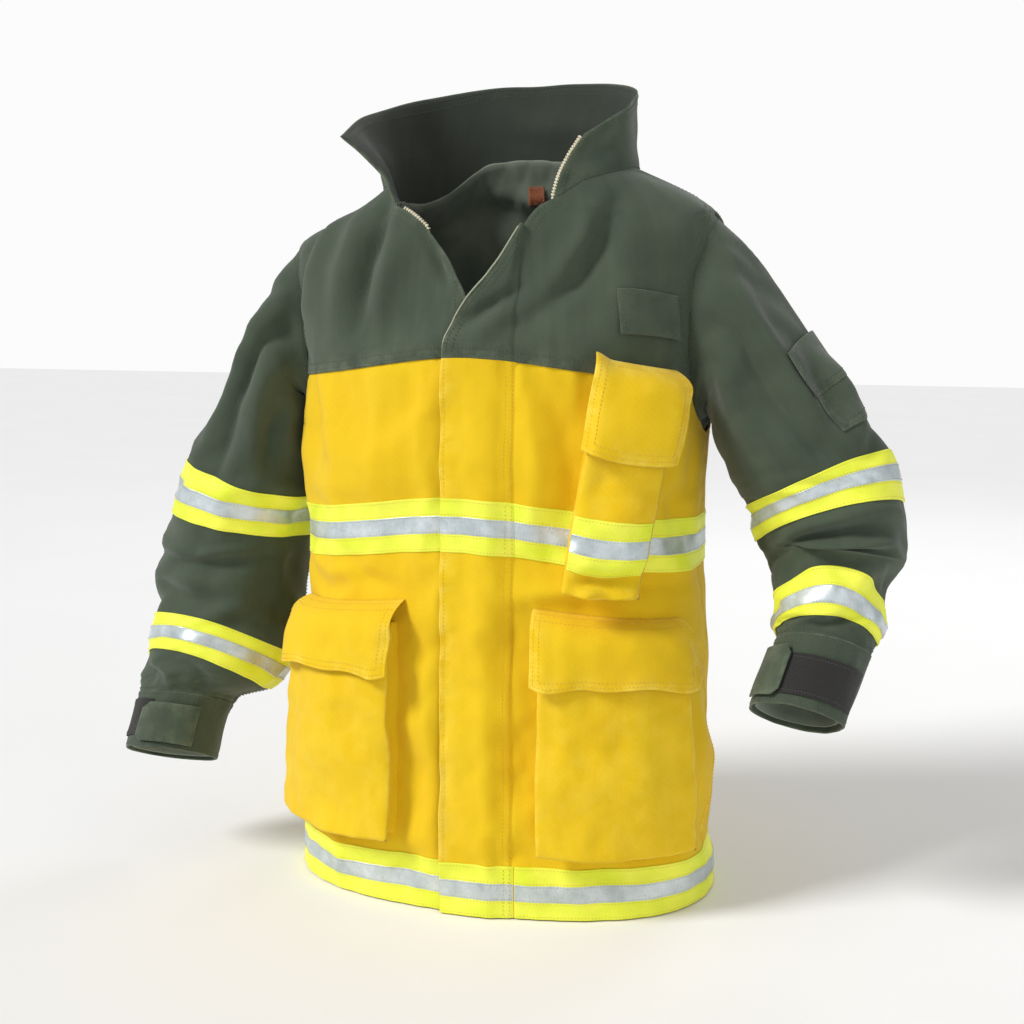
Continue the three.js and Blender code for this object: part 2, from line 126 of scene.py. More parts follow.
class Undulation:
    """A smooth, repeatable unevenness: a sum of waves in random directions, about -1 to 1."""

    def __init__(self, shortest, longest, waves=14, stretch=1.0):
        angle = rng.uniform(0, 2 * np.pi, waves)
        length = np.geomspace(shortest, longest, waves)
        self.k = np.stack([np.cos(angle) / stretch, np.sin(angle)]) * 2 * np.pi / length
        self.phase = rng.uniform(0, 2 * np.pi, waves)
        self.size = (length / longest) ** 0.6
        self.size /= np.sqrt((self.size**2).sum())

    def __call__(self, x, y):
        wave = np.asarray(x)[..., None] * self.k[0] + np.asarray(y)[..., None] * self.k[1]
        return (np.sin(wave + self.phase) * self.size).sum(-1)


def fold_field(folds, x, y):
    """Height of a set of folds at (x, y). A fold is (points along it, half width, height). It dies out
    towards both ends, and is a crease where its height is negative."""
    total = np.zeros(np.shape(x))
    for points, half, height in folds:
        p = np.array(points, float)
        step = np.linalg.norm(np.diff(p, axis=0), axis=1)
        reach = np.concatenate([[0], np.cumsum(step)]) / step.sum()
        nearest = np.full(np.shape(x), 1e9)
        place = np.zeros(np.shape(x))
        for a, b, ra, rb in zip(p[:-1], p[1:], reach[:-1], reach[1:]):
            d = b - a
            t = np.clip(((x - a[0]) * d[0] + (y - a[1]) * d[1]) / (d @ d), 0, 1)
            away = np.hypot(x - a[0] - t * d[0], y - a[1] - t * d[1])
            closer = away < nearest
            nearest = np.where(closer, away, nearest)
            place = np.where(closer, mix(ra, rb, t), place)
        taper = np.sin(np.pi * np.clip(place * 0.9 + 0.05, 0, 1)) ** 0.7
        total += height * taper * np.exp(-(nearest / half) ** 2)
    return total


# Folds over the front, as x and z on the body.
FRONT_FOLDS = [
    ([(-98, 752), (-103, 722), (-116, 690), (-124, 650), (-128, 615)], 8.5, -6.5),
    ([(-76, 726), (-86, 686), (-104, 630)], 14, 5),
    ([(-128, 742), (-138, 696), (-150, 640)], 15, 5),
    ([(-54, 724), (-36, 694), (-21, 664)], 6, -4),
    ([(-165, 742), (-190, 690), (-205, 620)], 15, 4),
    ([(-186, 735), (-205, 680), (-216, 630)], 9, -4),
    ([(146, 752), (136, 709), (112, 668), (74, 636)], 10, -5),
    ([(132, 752), (118, 712), (92, 672)], 14, 5),
    ([(165, 730), (160, 690), (168, 640)], 16, 4),
    ([(0, 626), (28, 645), (57, 664)], 7, -4.5),
    ([(12, 616), (42, 634), (70, 648)], 10, 3),
    ([(-40, 585), (-44, 520), (-40, 450), (-46, 380)], 12, 2.6),
    ([(-90, 590), (-100, 500), (-96, 420)], 26, 3),
    ([(-205, 590), (-190, 520), (-196, 440)], 12, -4),
    ([(-222, 570), (-214, 480), (-222, 400), (-216, 320)], 12, 5),
    ([(-170, 560), (-150, 480), (-160, 400)], 20, 3.4),
    ([(-150, 380), (-120, 352), (-80, 345)], 9, -2.6),
    ([(-205, 372), (-170, 350), (-120, 362)], 10, 3),
    ([(-35, 330), (-42, 240), (-34, 130), (-38, 40)], 15, 3.4),
    ([(-14, 300), (-20, 180), (-12, 70)], 9, -2),
    ([(20, 540), (28, 420), (20, 300), (30, 160), (24, 30)], 16, 2.2),
    ([(66, 560), (78, 490), (70, 400)], 13, 3),
    ([(100, 545), (112, 480), (104, 400)], 14, -2.6),
    ([(225, 470), (205, 440), (214, 380)], 11, -3),
    ([(150, 350), (190, 356), (232, 346)], 8, -2.4),
    ([(60, 345), (120, 352), (160, 342)], 9, 2.4),
    ([(-236, 300), (-232, 200), (-238, 90)], 16, 4),
    ([(240, 320), (236, 210), (242, 100)], 16, 4),
    ([(-150, 70), (-146, 35), (-150, 2)], 20, 3),
    ([(-70, 70), (-66, 35), (-72, 2)], 24, -3),
    ([(60, 66), (66, 35), (60, 2)], 24, 3),
    ([(160, 66), (152, 35), (160, 2)], 24, -3),
]
BACK_FOLDS = [
    ([(-185, 720), (-150, 650), (-135, 560)], 16, 5),
    ([(190, 722), (150, 655), (140, 560)], 16, 5),
    ([(-160, 735), (-118, 670), (-100, 590)], 11, -4),
    ([(162, 738), (120, 668), (106, 590)], 11, -4),
    ([(-60, 780), (0, 766), (60, 780)], 12, -4),
    ([(-80, 760), (0, 742), (80, 762)], 16, 3.5),
    ([(-205, 600), (-180, 520), (-185, 430)], 16, 5),
    ([(205, 600), (184, 520), (188, 430)], 16, 5),
    ([(-100, 560), (-92, 460), (-104, 330)], 24, 4),
    ([(96, 560), (104, 450), (92, 320)], 24, 4),
    ([(-20, 540), (-8, 430), (-18, 300)], 22, -4),
    ([(-150, 390), (-138, 250), (-150, 60)], 26, 5),
    ([(-60, 360), (-70, 220), (-60, 30)], 26, -5),
    ([(20, 350), (10, 200), (22, 30)], 28, 5),
    ([(120, 370), (110, 220), (124, 30)], 26, 4),
    ([(190, 330), (180, 190), (192, 60)], 18, -4),
    ([(-200, 330), (-208, 200), (-196, 40)], 18, -4),
]
FOLD_GAIN = 2.0
broad = Undulation(110, 320)
medium = Undulation(38, 110, stretch=0.7)
pucker = Undulation(14, 30, 10)


def body_surface(deg, h):
    s, c = np.sin(np.radians(deg)), np.cos(np.radians(deg))
    depth = np.where(c > 0, along(SECTIONS, 2, h), along(SECTIONS, 3, h))
    r = (np.abs(s / along(SECTIONS, 1, h)) ** ROUNDNESS + np.abs(c / depth) ** ROUNDNESS) ** (-1 / ROUNDNESS)
    z = h - SIDE_SAG * s * s * np.clip(h / 400, 0, 1)
    z = z - NECK_SAG * (0.5 - 0.5 * c) * np.clip((h - 600) / (NECK_H - 600), 0, 1)
    z = z - SHOULDER_DROP * smooth(-s, 0.45, 1.0) * smooth(h, 690, 830)
    return np.stack([r * s, -r * c, z], -1)


def body_folds(p, deg, h):
    """How far the cloth stands out from the body form."""
    front = smooth(np.cos(np.radians(deg)), -0.25, 0.25)
    x, z = p[..., 0], p[..., 2]
    folds = FOLD_GAIN * (front * fold_field(FRONT_FOLDS, x, z) + (1 - front) * fold_field(BACK_FOLDS, x, z))
    girth = MM_PER_DEG * (np.mod(deg + 180, 360) - 180)
    folds += 2.0 * broad(girth, h) + 0.7 * medium(girth, h) + 0.75 * body_drape(np.mod(deg, 360) / 3, h / 8)
    near_yoke_seam = np.exp(-((h - YOKE_H) / 9) ** 2)
    near_waist = np.exp(-((h - WAIST_H) / 40) ** 2)
    folds += pucker(girth, 0.4 * h) * (0.25 + 0.5 * near_yoke_seam - 0.15 * near_waist)
    return folds * (1 - 0.8 * smooth(h, 770, 830)) * (0.45 + 0.55 * smooth(h, 0, 60))


def torso(deg, h, distance=0.0):
    """A point on the coat's body: degrees round it, height, and distance out from the cloth's inner face."""
    deg, h, distance = np.broadcast_arrays(np.asarray(deg, float), h, distance)
    p = body_surface(deg, h)
    out = np.cross(body_surface(deg + 0.5, h) - body_surface(deg - 0.5, h),
                   body_surface(deg, h + 1) - body_surface(deg, h - 1))
    out[..., 2] *= np.clip(h / 300, 0, 1)
    return p + unit(out) * (distance + body_folds(p, deg, h))[..., None]


def deg_at(x, h):
    return np.degrees(np.arctan2(x, along(SECTIONS, 2, h)))


def armhole_deg(h):
    t = (np.asarray(h, float) - ARMHOLE_H) / ARMHOLE_HALF_H
    return ARMHOLE_HALF_DEG * np.sqrt(np.clip(1 - t * t, 0, 1))


# ---- The sleeve forms --------------------------------------------------------------------------------

# Sections from the shoulder to the cuff: the inner side's x and z, the outer side's x and z, the middle's y,
# and half the front-to-back depth.
SLEEVE_ROWS = {
    "left": [[232, 535, 292, 674, 2, 82], [243, 498, 347, 604, 4, 82], [262, 462, 404, 530, 6, 80],
             [276, 436, 430, 474, 8, 78], [294, 394, 440, 402, 4, 74], [304, 366, 430, 368, -8, 66],
             [308, 318, 420, 318, -32, 58], [312, 295, 410, 285, -46, 51], [294, 231, 388, 219, -84, 49]],
    "right": [[231, 538, 285, 650, 2, 82], [236, 488, 338, 558, 4, 82], [242, 440, 390, 462, 6, 80],
              [252, 392, 420, 398, 8, 78], [262, 340, 432, 332, 8, 78], [262, 268, 430, 262, -14, 74],
              [272, 216, 440, 212, -36, 70], [328, 178, 436, 176, -50, 54], [338, 119, 442, 117, -77, 52]],
}
SIDES = {"left": 1, "right": -1}
# each trim's first and last station on the outer side, how much lower it is on the inner side, and how much
# higher in front
UPPER_TRIM = {"left": (3.60, 4.45, 0.52, 0.32), "right": (2.95, 3.95, 0.42, 0.08)}
LOWER_TRIM = {"left": (6.6, 7.62, 0.15, 0.42), "right": (6.0, 6.78, 0.55, 0.17)}
CUFF, SLEEVE_END = 8, 9     # stations
STATION_MM = 60         # about, for laying cloth patterns
SLEEVE_GIRTH = 1.25     # mm per degree, for laying cloth patterns

# Folds on the sleeves, as mm down (STATION_MM x station) and mm round from the outer side towards the front.
SLEEVE_FOLDS = {
    "left": [
        ([(10, 118), (70, 96), (140, 100), (190, 92)], 10, -6),
        ([(20, 90), (80, 70), (150, 72), (210, 60)], 15, 6),
        ([(30, 150), (90, 135), (160, 140)], 14, 6),
        ([(100, 30), (150, 50), (185, 90)], 11, -4),
        ([(120, 0), (165, 25), (200, 60)], 12, 4),
        ([(278, 20), (268, 70), (276, 120), (296, 160)], 9, 8),
        ([(296, 40), (288, 85), (298, 130), (318, 160)], 8, -9),
        ([(300, 40), (314, 85), (318, 130), (308, 170)], 9, 7),
        ([(322, 70), (332, 110), (330, 150)], 8, -6),
        ([(336, 30), (345, 75), (346, 120)], 8, 5),
        ([(268, 190), (290, 215), (320, 205)], 10, 6),
        ([(420, 40), (440, 80), (462, 110)], 9, -3.5),
        ([(428, 90), (450, 130), (470, 160)], 9, 3.5),
        ([(40, -100), (120, -110), (200, -95)], 16, 6),
        ([(60, -150), (140, -150), (200, -140)], 12, -5),
        ([(280, -80), (310, -120), (350, -100)], 14, 5),
        ([(360, -60), (410, -90), (460, -80)], 14, 4),
    ],
    "right": [
        ([(8, 120), (60, 104), (120, 98), (180, 104)], 10, -6.5),
        ([(16, 92), (70, 78), (130, 70), (200, 74)], 15, 6.5),
        ([(30, 150), (90, 130), (150, 136)], 14, 6),
        ([(110, 20), (160, 40), (190, 80)], 12, 4),
        ([(90, 170), (120, 150), (165, 160)], 8, -6),
        ([(70, 190), (105, 172), (150, 182)], 9, 5),
        ([(264, 20), (284, 60), (290, 105), (280, 150)], 11, 5.5),
        ([(286, 50), (303, 90), (306, 130), (298, 165)], 9, -5.5),
        ([(306, 30), (322, 80), (326, 125), (316, 165)], 10, 5),
        ([(330, 60), (344, 100), (346, 140)], 10, -4.5),
        ([(262, 175), (290, 195), (330, 190)], 11, 5),
        ([(426, 20), (448, 60), (474, 80)], 9, -5),
        ([(420, 60), (446, 100), (476, 120)], 10, 5),
        ([(430, 120), (452, 150), (474, 160)], 8, -4.5),
        ([(40, -100), (120, -110), (200, -95)], 16, 6),
        ([(60, -150), (140, -150), (200, -140)], 12, -5),
        ([(280, -80), (310, -120), (350, -100)], 14, 5),
        ([(360, -60), (410, -90), (460, -80)], 14, 4),
    ],
}
sleeve_broad = Undulation(70, 200)
sleeve_medium = Undulation(26, 80)


def sleeve_base(suffix, station, deg):
    """The sleeve form without folds, for the wearer's left: 0 degrees is its outer side and 90 its front."""
    s, c = np.sin(np.radians(deg)), np.cos(np.radians(deg))
    rows = np.array(SLEEVE_ROWS[suffix], float)
    middle = np.stack([(rows[:, 0] + rows[:, 2]) / 2, rows[:, 4], (rows[:, 1] + rows[:, 3]) / 2], -1)
    outwards = np.stack([rows[:, 2] - rows[:, 0], 0 * rows[:, 0], rows[:, 3] - rows[:, 1]], -1) / 2
    n = len(rows)
    axis = middle[np.minimum(np.arange(n) + 1, n - 1)] - middle[np.maximum(np.arange(n) - 1, 0)]
    forwards = unit(np.cross(axis, outwards)) * rows[:, 5:6]
    # Every ring's point at this angle, with the armhole as ring 0.
    hole_deg = 90 - (ARMHOLE_HALF_DEG + 0.4) * s
    hole = body_surface(hole_deg * SIDES[suffix], ARMHOLE_H + (ARMHOLE_HALF_H + 2) * c)
    hole[..., 0] *= SIDES[suffix]
    hole += np.array([0.5, 0, 0])

    def ring(k):
        k = np.clip(k, 0, n)
        j = np.maximum(k - 1, 0)
        p = middle[j] + outwards[j] * c[..., None] + forwards[j] * s[..., None]
        return np.where((k == 0)[..., None], hole, p)

    k = np.clip(np.floor(station).astype(int), 0, SLEEVE_END - 1)
    t = (station - k)[..., None]
    before, a, b, after = ring(k - 1), ring(k), ring(k + 1), ring(k + 2)
    before = np.where((k == 0)[..., None], a - (b - a) * np.array([0.5, 0.6, 0.3]), before)
    return catmull(before, a, b, after, t)


def sleeve_folds(suffix, station, deg):
    girth = SLEEVE_GIRTH * (np.mod(deg + 180, 360) - 180)
    s = STATION_MM * station
    folds = 1.4 * fold_field(SLEEVE_FOLDS[suffix], s, girth)
    offset = 500 if suffix == "left" else 0
    angle = np.radians(deg)
    gx, gy = 70 * np.cos(angle) + offset, 70 * np.sin(angle)
    folds += 1.8 * sleeve_broad(gx + s, gy - 0.6 * s) + 1.1 * sleeve_medium(gx - 0.5 * s, gy + s)
    folds += sleeve_drape[suffix](np.mod(deg, 360) / 7.5, station / 0.12)
    # Gathers into the armhole and the cuff.
    ease = np.exp(-(station / 0.35) ** 2) + 0.8 * np.exp(-((station - CUFF) / 0.25) ** 2)
    folds += 0.9 * ease * np.sin(girth / 7.5 + 2 * np.sin(girth / 31))
    quiet = 1 - 0.7 * np.exp(-((station - CUFF - 0.45) / 0.45) ** 2)
    return folds * smooth(station, 0, 0.5) * quiet


def sleeve(suffix, station, deg, distance=0.0):
    station, deg, distance = np.broadcast_arrays(np.asarray(station, float), deg, distance)
    p = sleeve_base(suffix, station, deg)
    lower, upper = np.maximum(station - 0.02, 0), np.minimum(station + 0.02, SLEEVE_END)
    down = sleeve_base(suffix, upper, deg) - sleeve_base(suffix, lower, deg)
    round_ = sleeve_base(suffix, station, deg + 1) - sleeve_base(suffix, station, deg - 1)
    p = p + unit(np.cross(round_, down)) * (distance + sleeve_folds(suffix, station, deg))[..., None]
    return p * np.array([SIDES[suffix], 1, 1])


# ---- Cloth that settles ------------------------------------------------------------------------------

class Drape:
    """How far settled cloth stands out from its form, on a grid closed round its columns. Flat until set."""

    def __init__(self):
        self.grid = None

    def __call__(self, column, row):
        if self.grid is None:
            return np.zeros(np.broadcast(column, row).shape)
        nu, nv = self.grid.shape
        i, j = np.floor(column).astype(int), np.floor(row).astype(int)
        s, t = column - i, row - j

        def spline_weights(f):
            inner = (3 * f**3 - 6 * f**2 + 4) / 6, (-3 * f**3 + 3 * f**2 + 3 * f + 1) / 6
            return (1 - f) ** 3 / 6, *inner, f**3 / 6

        total = 0.0
        for a, wa in enumerate(spline_weights(s)):
            for b, wb in enumerate(spline_weights(t)):
                total = total + wa * wb * self.grid[(i + a - 1) % nu, np.clip(j + b - 1, 0, nv - 1)]
        return total


body_drape = Drape()
sleeve_drape = {"left": Drape(), "right": Drape()}


SETTLING_FRAMES = 22


def settle(points, pins, growth, bend, gravity):
    """Makes a tube of cloth a little larger than its form, lets it buckle and sag, and returns the points."""
    nu, nv = points.shape[:2]
    ids = np.arange(nu * nv).reshape(nu, nv)
    after = np.roll(ids, -1, axis=0)
    faces = np.stack([ids[:, :-1], after[:, :-1], after[:, 1:], ids[:, 1:]], -1).reshape(-1, 4)
    mesh = bpy.data.meshes.new("settling")
    mesh.from_pydata((points.reshape(-1, 3) * MM).tolist(), [], faces.tolist())
    cloth = bpy.data.objects.new("settling", mesh)
    bpy.context.scene.collection.objects.link(cloth)
    group = cloth.vertex_groups.new(name="pins")
    level = np.round(np.clip(pins, 0, 1).ravel() * 50) / 50
    for value in np.unique(level):
        group.add(np.nonzero(level == value)[0].tolist(), float(value), "REPLACE")
    modifier = cloth.modifiers.new("cloth", "CLOTH")
    settings = modifier.settings
    settings.quality = 5
    settings.mass = 0.2
    settings.tension_stiffness = settings.compression_stiffness = 20
    settings.shear_stiffness = 6
    settings.bending_stiffness = bend
    settings.air_damping = 3
    settings.vertex_group_mass = "pins"
    settings.shrink_min = -growth
    settings.effector_weights.gravity = gravity
    modifier.collision_settings.use_collision = False
    modifier.point_cache.frame_end = SETTLING_FRAMES
    for frame_number in range(1, SETTLING_FRAMES + 1):
        bpy.context.scene.frame_set(frame_number)
    settled = cloth.evaluated_get(bpy.context.evaluated_depsgraph_get()).to_mesh()
    moved = np.empty(nu * nv * 3)
    settled.vertices.foreach_get("co", moved)
    cloth.evaluated_get(bpy.context.evaluated_depsgraph_get()).to_mesh_clear()
    bpy.data.objects.remove(cloth)
    bpy.data.meshes.remove(mesh)
    bpy.context.scene.frame_set(1)
    return moved.reshape(nu, nv, 3) / MM


def stand_out(before, after, out, cap):
    """The movement along the outward direction, eased off towards a cap."""
    far = ((after - before) * out).sum(-1)
    return cap * np.tanh(far / cap)


def settle_body():
    deg, h = grid(np.arange(0, 360, 3.0), np.arange(0, 846, 8.0))
    h = np.minimum(h, NECK_H)
    front = np.minimum(deg, 360 - deg)
    points = torso(deg, h)
    out = torso(deg, h, 1.0) - points
    pins = 0.10 + 0.9 * smooth(h, 765, 800) + 0.25 * np.exp(-((h - WAIST_H) / 34) ** 2)
    pins += 0.3 * (1 - smooth(h, 20, 70))
    pins += 0.25 * np.exp(-((h - YOKE_H) / 10) ** 2) + 0.5 * (1 - smooth(front, 3, 9)) * (h < 600)
    behind_pocket = 0.4 * smooth(front, 24, 30) * (1 - smooth(front, 68, 76))
    pins += behind_pocket * smooth(h, 60, 90) * (1 - smooth(h, 330, 350))
    hole = np.hypot((h - ARMHOLE_H) / ARMHOLE_HALF_H, (front - 90) / ARMHOLE_HALF_DEG)
    pins += 0.9 * (1 - smooth(hole, 1.0, 1.35))
    body_drape.grid = stand_out(points, settle(points, pins, 0.03, 4.0, 0.6), out, 7.0)


def trim_slope(deg, lean, rise):
    """How many stations lower than on the outer side a sleeve's trim is, all the way round."""
    angle = np.radians(deg)
    return lean * (0.5 - 0.5 * np.cos(angle)) - rise * np.clip(np.sin(angle), 0, 1) ** 1.5


def settle_sleeve(suffix):
    deg, station = grid(np.arange(0, 360, 7.5), np.arange(0, 9.05, 0.12))
    station = np.minimum(station, SLEEVE_END)
    points = sleeve(suffix, station, deg)
    out = sleeve(suffix, station, deg, 1.0) - points
    pins = 0.06 + (1 - smooth(station, 0.15, 0.9)) + smooth(station, 7.6, 8.0)
    for start, stop, lean, rise in (UPPER_TRIM[suffix], LOWER_TRIM[suffix]):
        middle = (start + stop) / 2 + trim_slope(deg, lean, rise)
        pins += 0.22 * np.exp(-((station - middle) / 0.5) ** 2)
    sleeve_drape[suffix].grid = stand_out(points, settle(points, pins, 0.05, 2.5, 0.5), out, 9.0)


# ---- Building pieces ---------------------------------------------------------------------------------

def rows_between(a, b, step, fine=(0.9, 2.2, 4.0)):
    """Values from a to b about a step apart, closer together at both ends, for crisp edges."""
    length = abs(b - a)
    fine = [f for f in fine if f < length / 3]
    inner = fine[-1] if fine else 0
    n = max(int(round((length - 2 * inner) / step)), 1)
    even = np.linspace(inner, length - inner, n + 1)[1:-1]
    values = [0, *fine, *even, *[length - f for f in fine[::-1]], length]
    return a + np.sign(b - a) * np.array(values)


class Piece:
    """Gathers the parts of one piece, then makes its object."""

    def __init__(self, name):
        self.name = name
        self.points, self.faces, self.uvs, self.slots, self.wear = [], [], [], [], []
        self.count = 0
        self.materials = []

    def _add(self, points, faces, uv, material, wear):
        if material not in self.materials:
            self.materials.append(material)
        points = points.reshape(-1, 3)
        faces = np.asarray(faces)
        a, b, c = points[faces[:, 0]], points[faces[:, 1]], points[faces[:, 2]]
        volume = np.einsum("ij,ij->", a, np.cross(b, c))
        if faces.shape[1] == 4:
            volume += np.einsum("ij,ij->", a, np.cross(c, points[faces[:, 3]]))
        if volume < 0:
            faces = faces[:, ::-1]
        self.points.append(points)
        self.faces += (faces + self.count).tolist()
        self.slots += [self.materials.index(material)] * len(faces)
        self.uvs.append(np.broadcast_to(uv, (len(points), 2)))
        self.wear.append(np.broadcast_to(wear, (len(points),)))
        self.count += len(points)

    def shell(self, outer, inner, uv, material, wrap=False, wear=None):
        """A closed skin between two grids of points, with rounded rims. A wrapped one closes round itself."""
        nu, nv = outer.shape[:2]
        o = np.arange(nu * nv).reshape(nu, nv)
        i = o + nu * nv
        a0 = np.arange(nu if wrap else nu - 1)
        a1 = (a0 + 1) % nu
        faces = []
        for ids, order in ((o, 1), (i, -1)):
            cells = np.stack([ids[a0][:, :-1], ids[a1][:, :-1], ids[a1][:, 1:], ids[a0][:, 1:]], -1)
            faces.append(cells.reshape(-1, 4)[:, ::order])
        points = [outer.reshape(-1, 3), inner.reshape(-1, 3)]
        uv = np.broadcast_to(uv, (nu, nv, 2))
        uvs = [uv.reshape(-1, 2)] * 2
        if wear is None:
            wear = np.zeros((nu, nv))
            wear[:, [0, -1]] = 1
            if not wrap:
                wear[[0, -1], :] = 1
        wears = [wear.ravel(), wear.ravel()]
        columns, last = np.arange(nu), nv - 1
        if wrap:
            rims = [(columns, 0 * columns, 0 * columns + 1, columns),
                    (columns[::-1], 0 * columns + last, 0 * columns + last - 1, columns[::-1])]
        else:
            up = np.arange(nv)
            a = np.concatenate([columns[:-1], 0 * up[:-1] + nu - 1, columns[:0:-1], 0 * up[:0:-1]])
            b = np.concatenate([0 * columns[:-1], up[:-1], 0 * columns[:0:-1] + last, up[:0:-1]])
            rims = [(a, b, np.clip(b, 1, last - 1), np.clip(a, 1, nu - 2))]
        start = 2 * nu * nv
        for a, b, near_b, near_a in rims:
            edge_o, edge_i = outer[a, b], inner[a, b]
            away = unit(edge_o - outer[near_a, near_b])
            thick = np.linalg.norm(edge_o - edge_i, axis=-1, keepdims=True)
            rim = start + np.arange(len(a))
            nxt = np.roll(np.arange(len(a)), -1)
            points.append((edge_o + edge_i) / 2 + away * thick * 0.38)
            uvs.append(uv[a, b])
            wears.append(wear[a, b])
            faces.append(np.stack([o[a, b][nxt], o[a, b], rim, rim[nxt]], -1))
            faces.append(np.stack([rim[nxt], rim, i[a, b], i[a, b][nxt]], -1))
            start += len(a)
        points, faces, uvs, wears = map(np.concatenate, (points, faces, uvs, wears))
        self._add(points, faces, uvs, material, wears)

    def sheet(self, surface, u, v, top, bottom, uv, material, **more):
        """A skin between two distances from a surface, which gives points for (u, v, distance)."""
        self.shell(surface(u, v, top), surface(u, v, bottom), uv(u, v), material, **more)

    def sew(self, surface, u, v, distance, thread, up=1.0, **more):
        """A row of stitches along a line on a surface. up is -1 on a surface's inner side."""
        low = surface(u, v, distance)
        self.stitches(low, surface(u, v, np.asarray(distance) + up) - low, thread, **more)

    def stitches(self, path, normal, material, pitch=4.2, length=3.0, width=0.85, height=0.7):
        """A row of stitches along a path: each is a small lozenge lying on the cloth."""
        path, normal = np.asarray(path), np.asarray(normal)
        far = path_length(path)
        n = int(far[-1] / pitch)
        if n < 1:
            return
        middle = (np.arange(n) + 0.5) * far[-1] / n

        def at(s, values):
            return np.stack([np.interp(s, far, values[:, k]) for k in range(3)], -1)

        a, b, m = at(middle - length / 2, path), at(middle + length / 2, path), at(middle, path)
        up = unit(at(middle, normal))
        side = unit(np.cross(b - a, up)) * width / 2
        corners = np.stack([a, m + side, b, m - side, m + up * height, m - up * 0.5], 1)
        faces = np.array([[k, (k + 1) % 4, 4] for k in range(4)] + [[(k + 1) % 4, k, 5] for k in range(4)])
        every = (faces[None] + 6 * np.arange(n)[:, None, None]).reshape(-1, 3)
        self._add(corners.reshape(-1, 3), every, np.zeros(2), material, 0.0)

    def cord(self, path, radius, material, sides=8, squash=(1.0, 1.0), normal=None):
        """A round cord or a flattened binding along a path, closed at its ends."""
        path = np.asarray(path, float)
        ahead = unit(np.gradient(path, axis=0))
        up = unit(np.broadcast_to(normal if normal is not None else [0, 0.3, 1.0], path.shape))
        side = unit(np.cross(ahead, up))
        up = unit(np.cross(side, ahead))
        turn = np.linspace(0, 2 * np.pi, sides, endpoint=False)
        n = len(path)
        shrink = np.ones(n)
        shrink[[0, -1]] = 0.35
        turn = turn[:, None, None]
        ring = side[None] * np.cos(turn) * squash[0] + up[None] * np.sin(turn) * squash[1]
        rings = path[None] + ring * radius * shrink[None, :, None]
        ids = np.arange(sides * n).reshape(sides, n)
        a1 = np.roll(ids, -1, axis=0)
        faces = np.stack([ids[:, :-1], a1[:, :-1], a1[:, 1:], ids[:, 1:]], -1).reshape(-1, 4)
        ends = sides * n + np.arange(2)
        caps = [np.stack([a1[:, 0], ids[:, 0], np.full(sides, ends[0]), np.full(sides, ends[0])], -1),
                np.stack([ids[:, -1], a1[:, -1], np.full(sides, ends[1]), np.full(sides, ends[1])], -1)]
        tips = path[[0, -1]] - ahead[[0, -1]] * [[radius * 0.4], [-radius * 0.4]]
        points = np.concatenate([rings.reshape(-1, 3), tips])
        along_uv = path_length(path) * MM
        round_uv = np.linspace(0, 1, sides)[:, None] * 6 * radius * MM
        uv = np.stack(np.broadcast_arrays(round_uv, along_uv[None]), -1)
        uv = np.concatenate([uv.reshape(-1, 2), np.zeros((2, 2))])
        self._add(points, np.concatenate([faces, *caps]), uv, material, 0.3)

    def blocks(self, centres, axes, sizes, material, taper=0.8):
        """Small rounded blocks, such as zip teeth. axes holds each block's three unit directions."""
        shape = np.array([(x * (taper if z else 1), y * (taper if z else 1), z)
                          for z in (0, 1) for x, y in ((-1, -1), (1, -1), (1, 1), (-1, 1))], float)
        shape[:, 2] = shape[:, 2] * 2 - 1
        local = shape * np.asarray(sizes) / 2
        points = centres[:, None] + np.einsum("vk,nkd->nvd", local, axes)
        cube = np.array([[0, 3, 2, 1], [4, 5, 6, 7], [0, 1, 5, 4], [1, 2, 6, 5], [2, 3, 7, 6], [3, 0, 4, 7]])
        every = (cube[None] + 8 * np.arange(len(centres))[:, None, None]).reshape(-1, 4)
        self._add(points.reshape(-1, 3), every, np.zeros(2), material, 0.2)

    def make(self, node, body=None, blend=None):
        """Makes the object that stands for the node. It rides on a body, or, given a blend, is left
        unparented with its transform applied.
        """
        mesh = bpy.data.meshes.new(self.name)
        points = (np.concatenate(self.points) + HEM_MIDDLE) * MM
        faces = [f[:3] if len(f) == 4 and f[2] == f[3] else f for f in self.faces]
        mesh.from_pydata(points.tolist(), [], faces)
        for m in self.materials:
            mesh.materials.append(m)
        mesh.polygons.foreach_set("material_index", np.array(self.slots, np.int32))
        mesh.polygons.foreach_set("use_smooth", np.ones(len(faces), bool))
        layer = mesh.uv_layers.new(name="cloth")
        corner = np.empty(len(mesh.loops), np.int32)
        mesh.loops.foreach_get("vertex_index", corner)
        layer.data.foreach_set("uv", np.concatenate(self.uvs)[corner].astype(np.float32).ravel())
        attribute = mesh.attributes.new("wear", "FLOAT", "POINT")
        attribute.data.foreach_set("value", np.concatenate(self.wear).astype(np.float32))
        mesh.validate()
        mesh.update()
        obj = bpy.data.objects.new(self.name, mesh)
        bpy.context.scene.collection.objects.link(obj)
        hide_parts(node)
        if blend:
            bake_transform(obj)
        else:
            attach(obj, body)


# ---- Materials ---------------------------------------------------------------------------------------

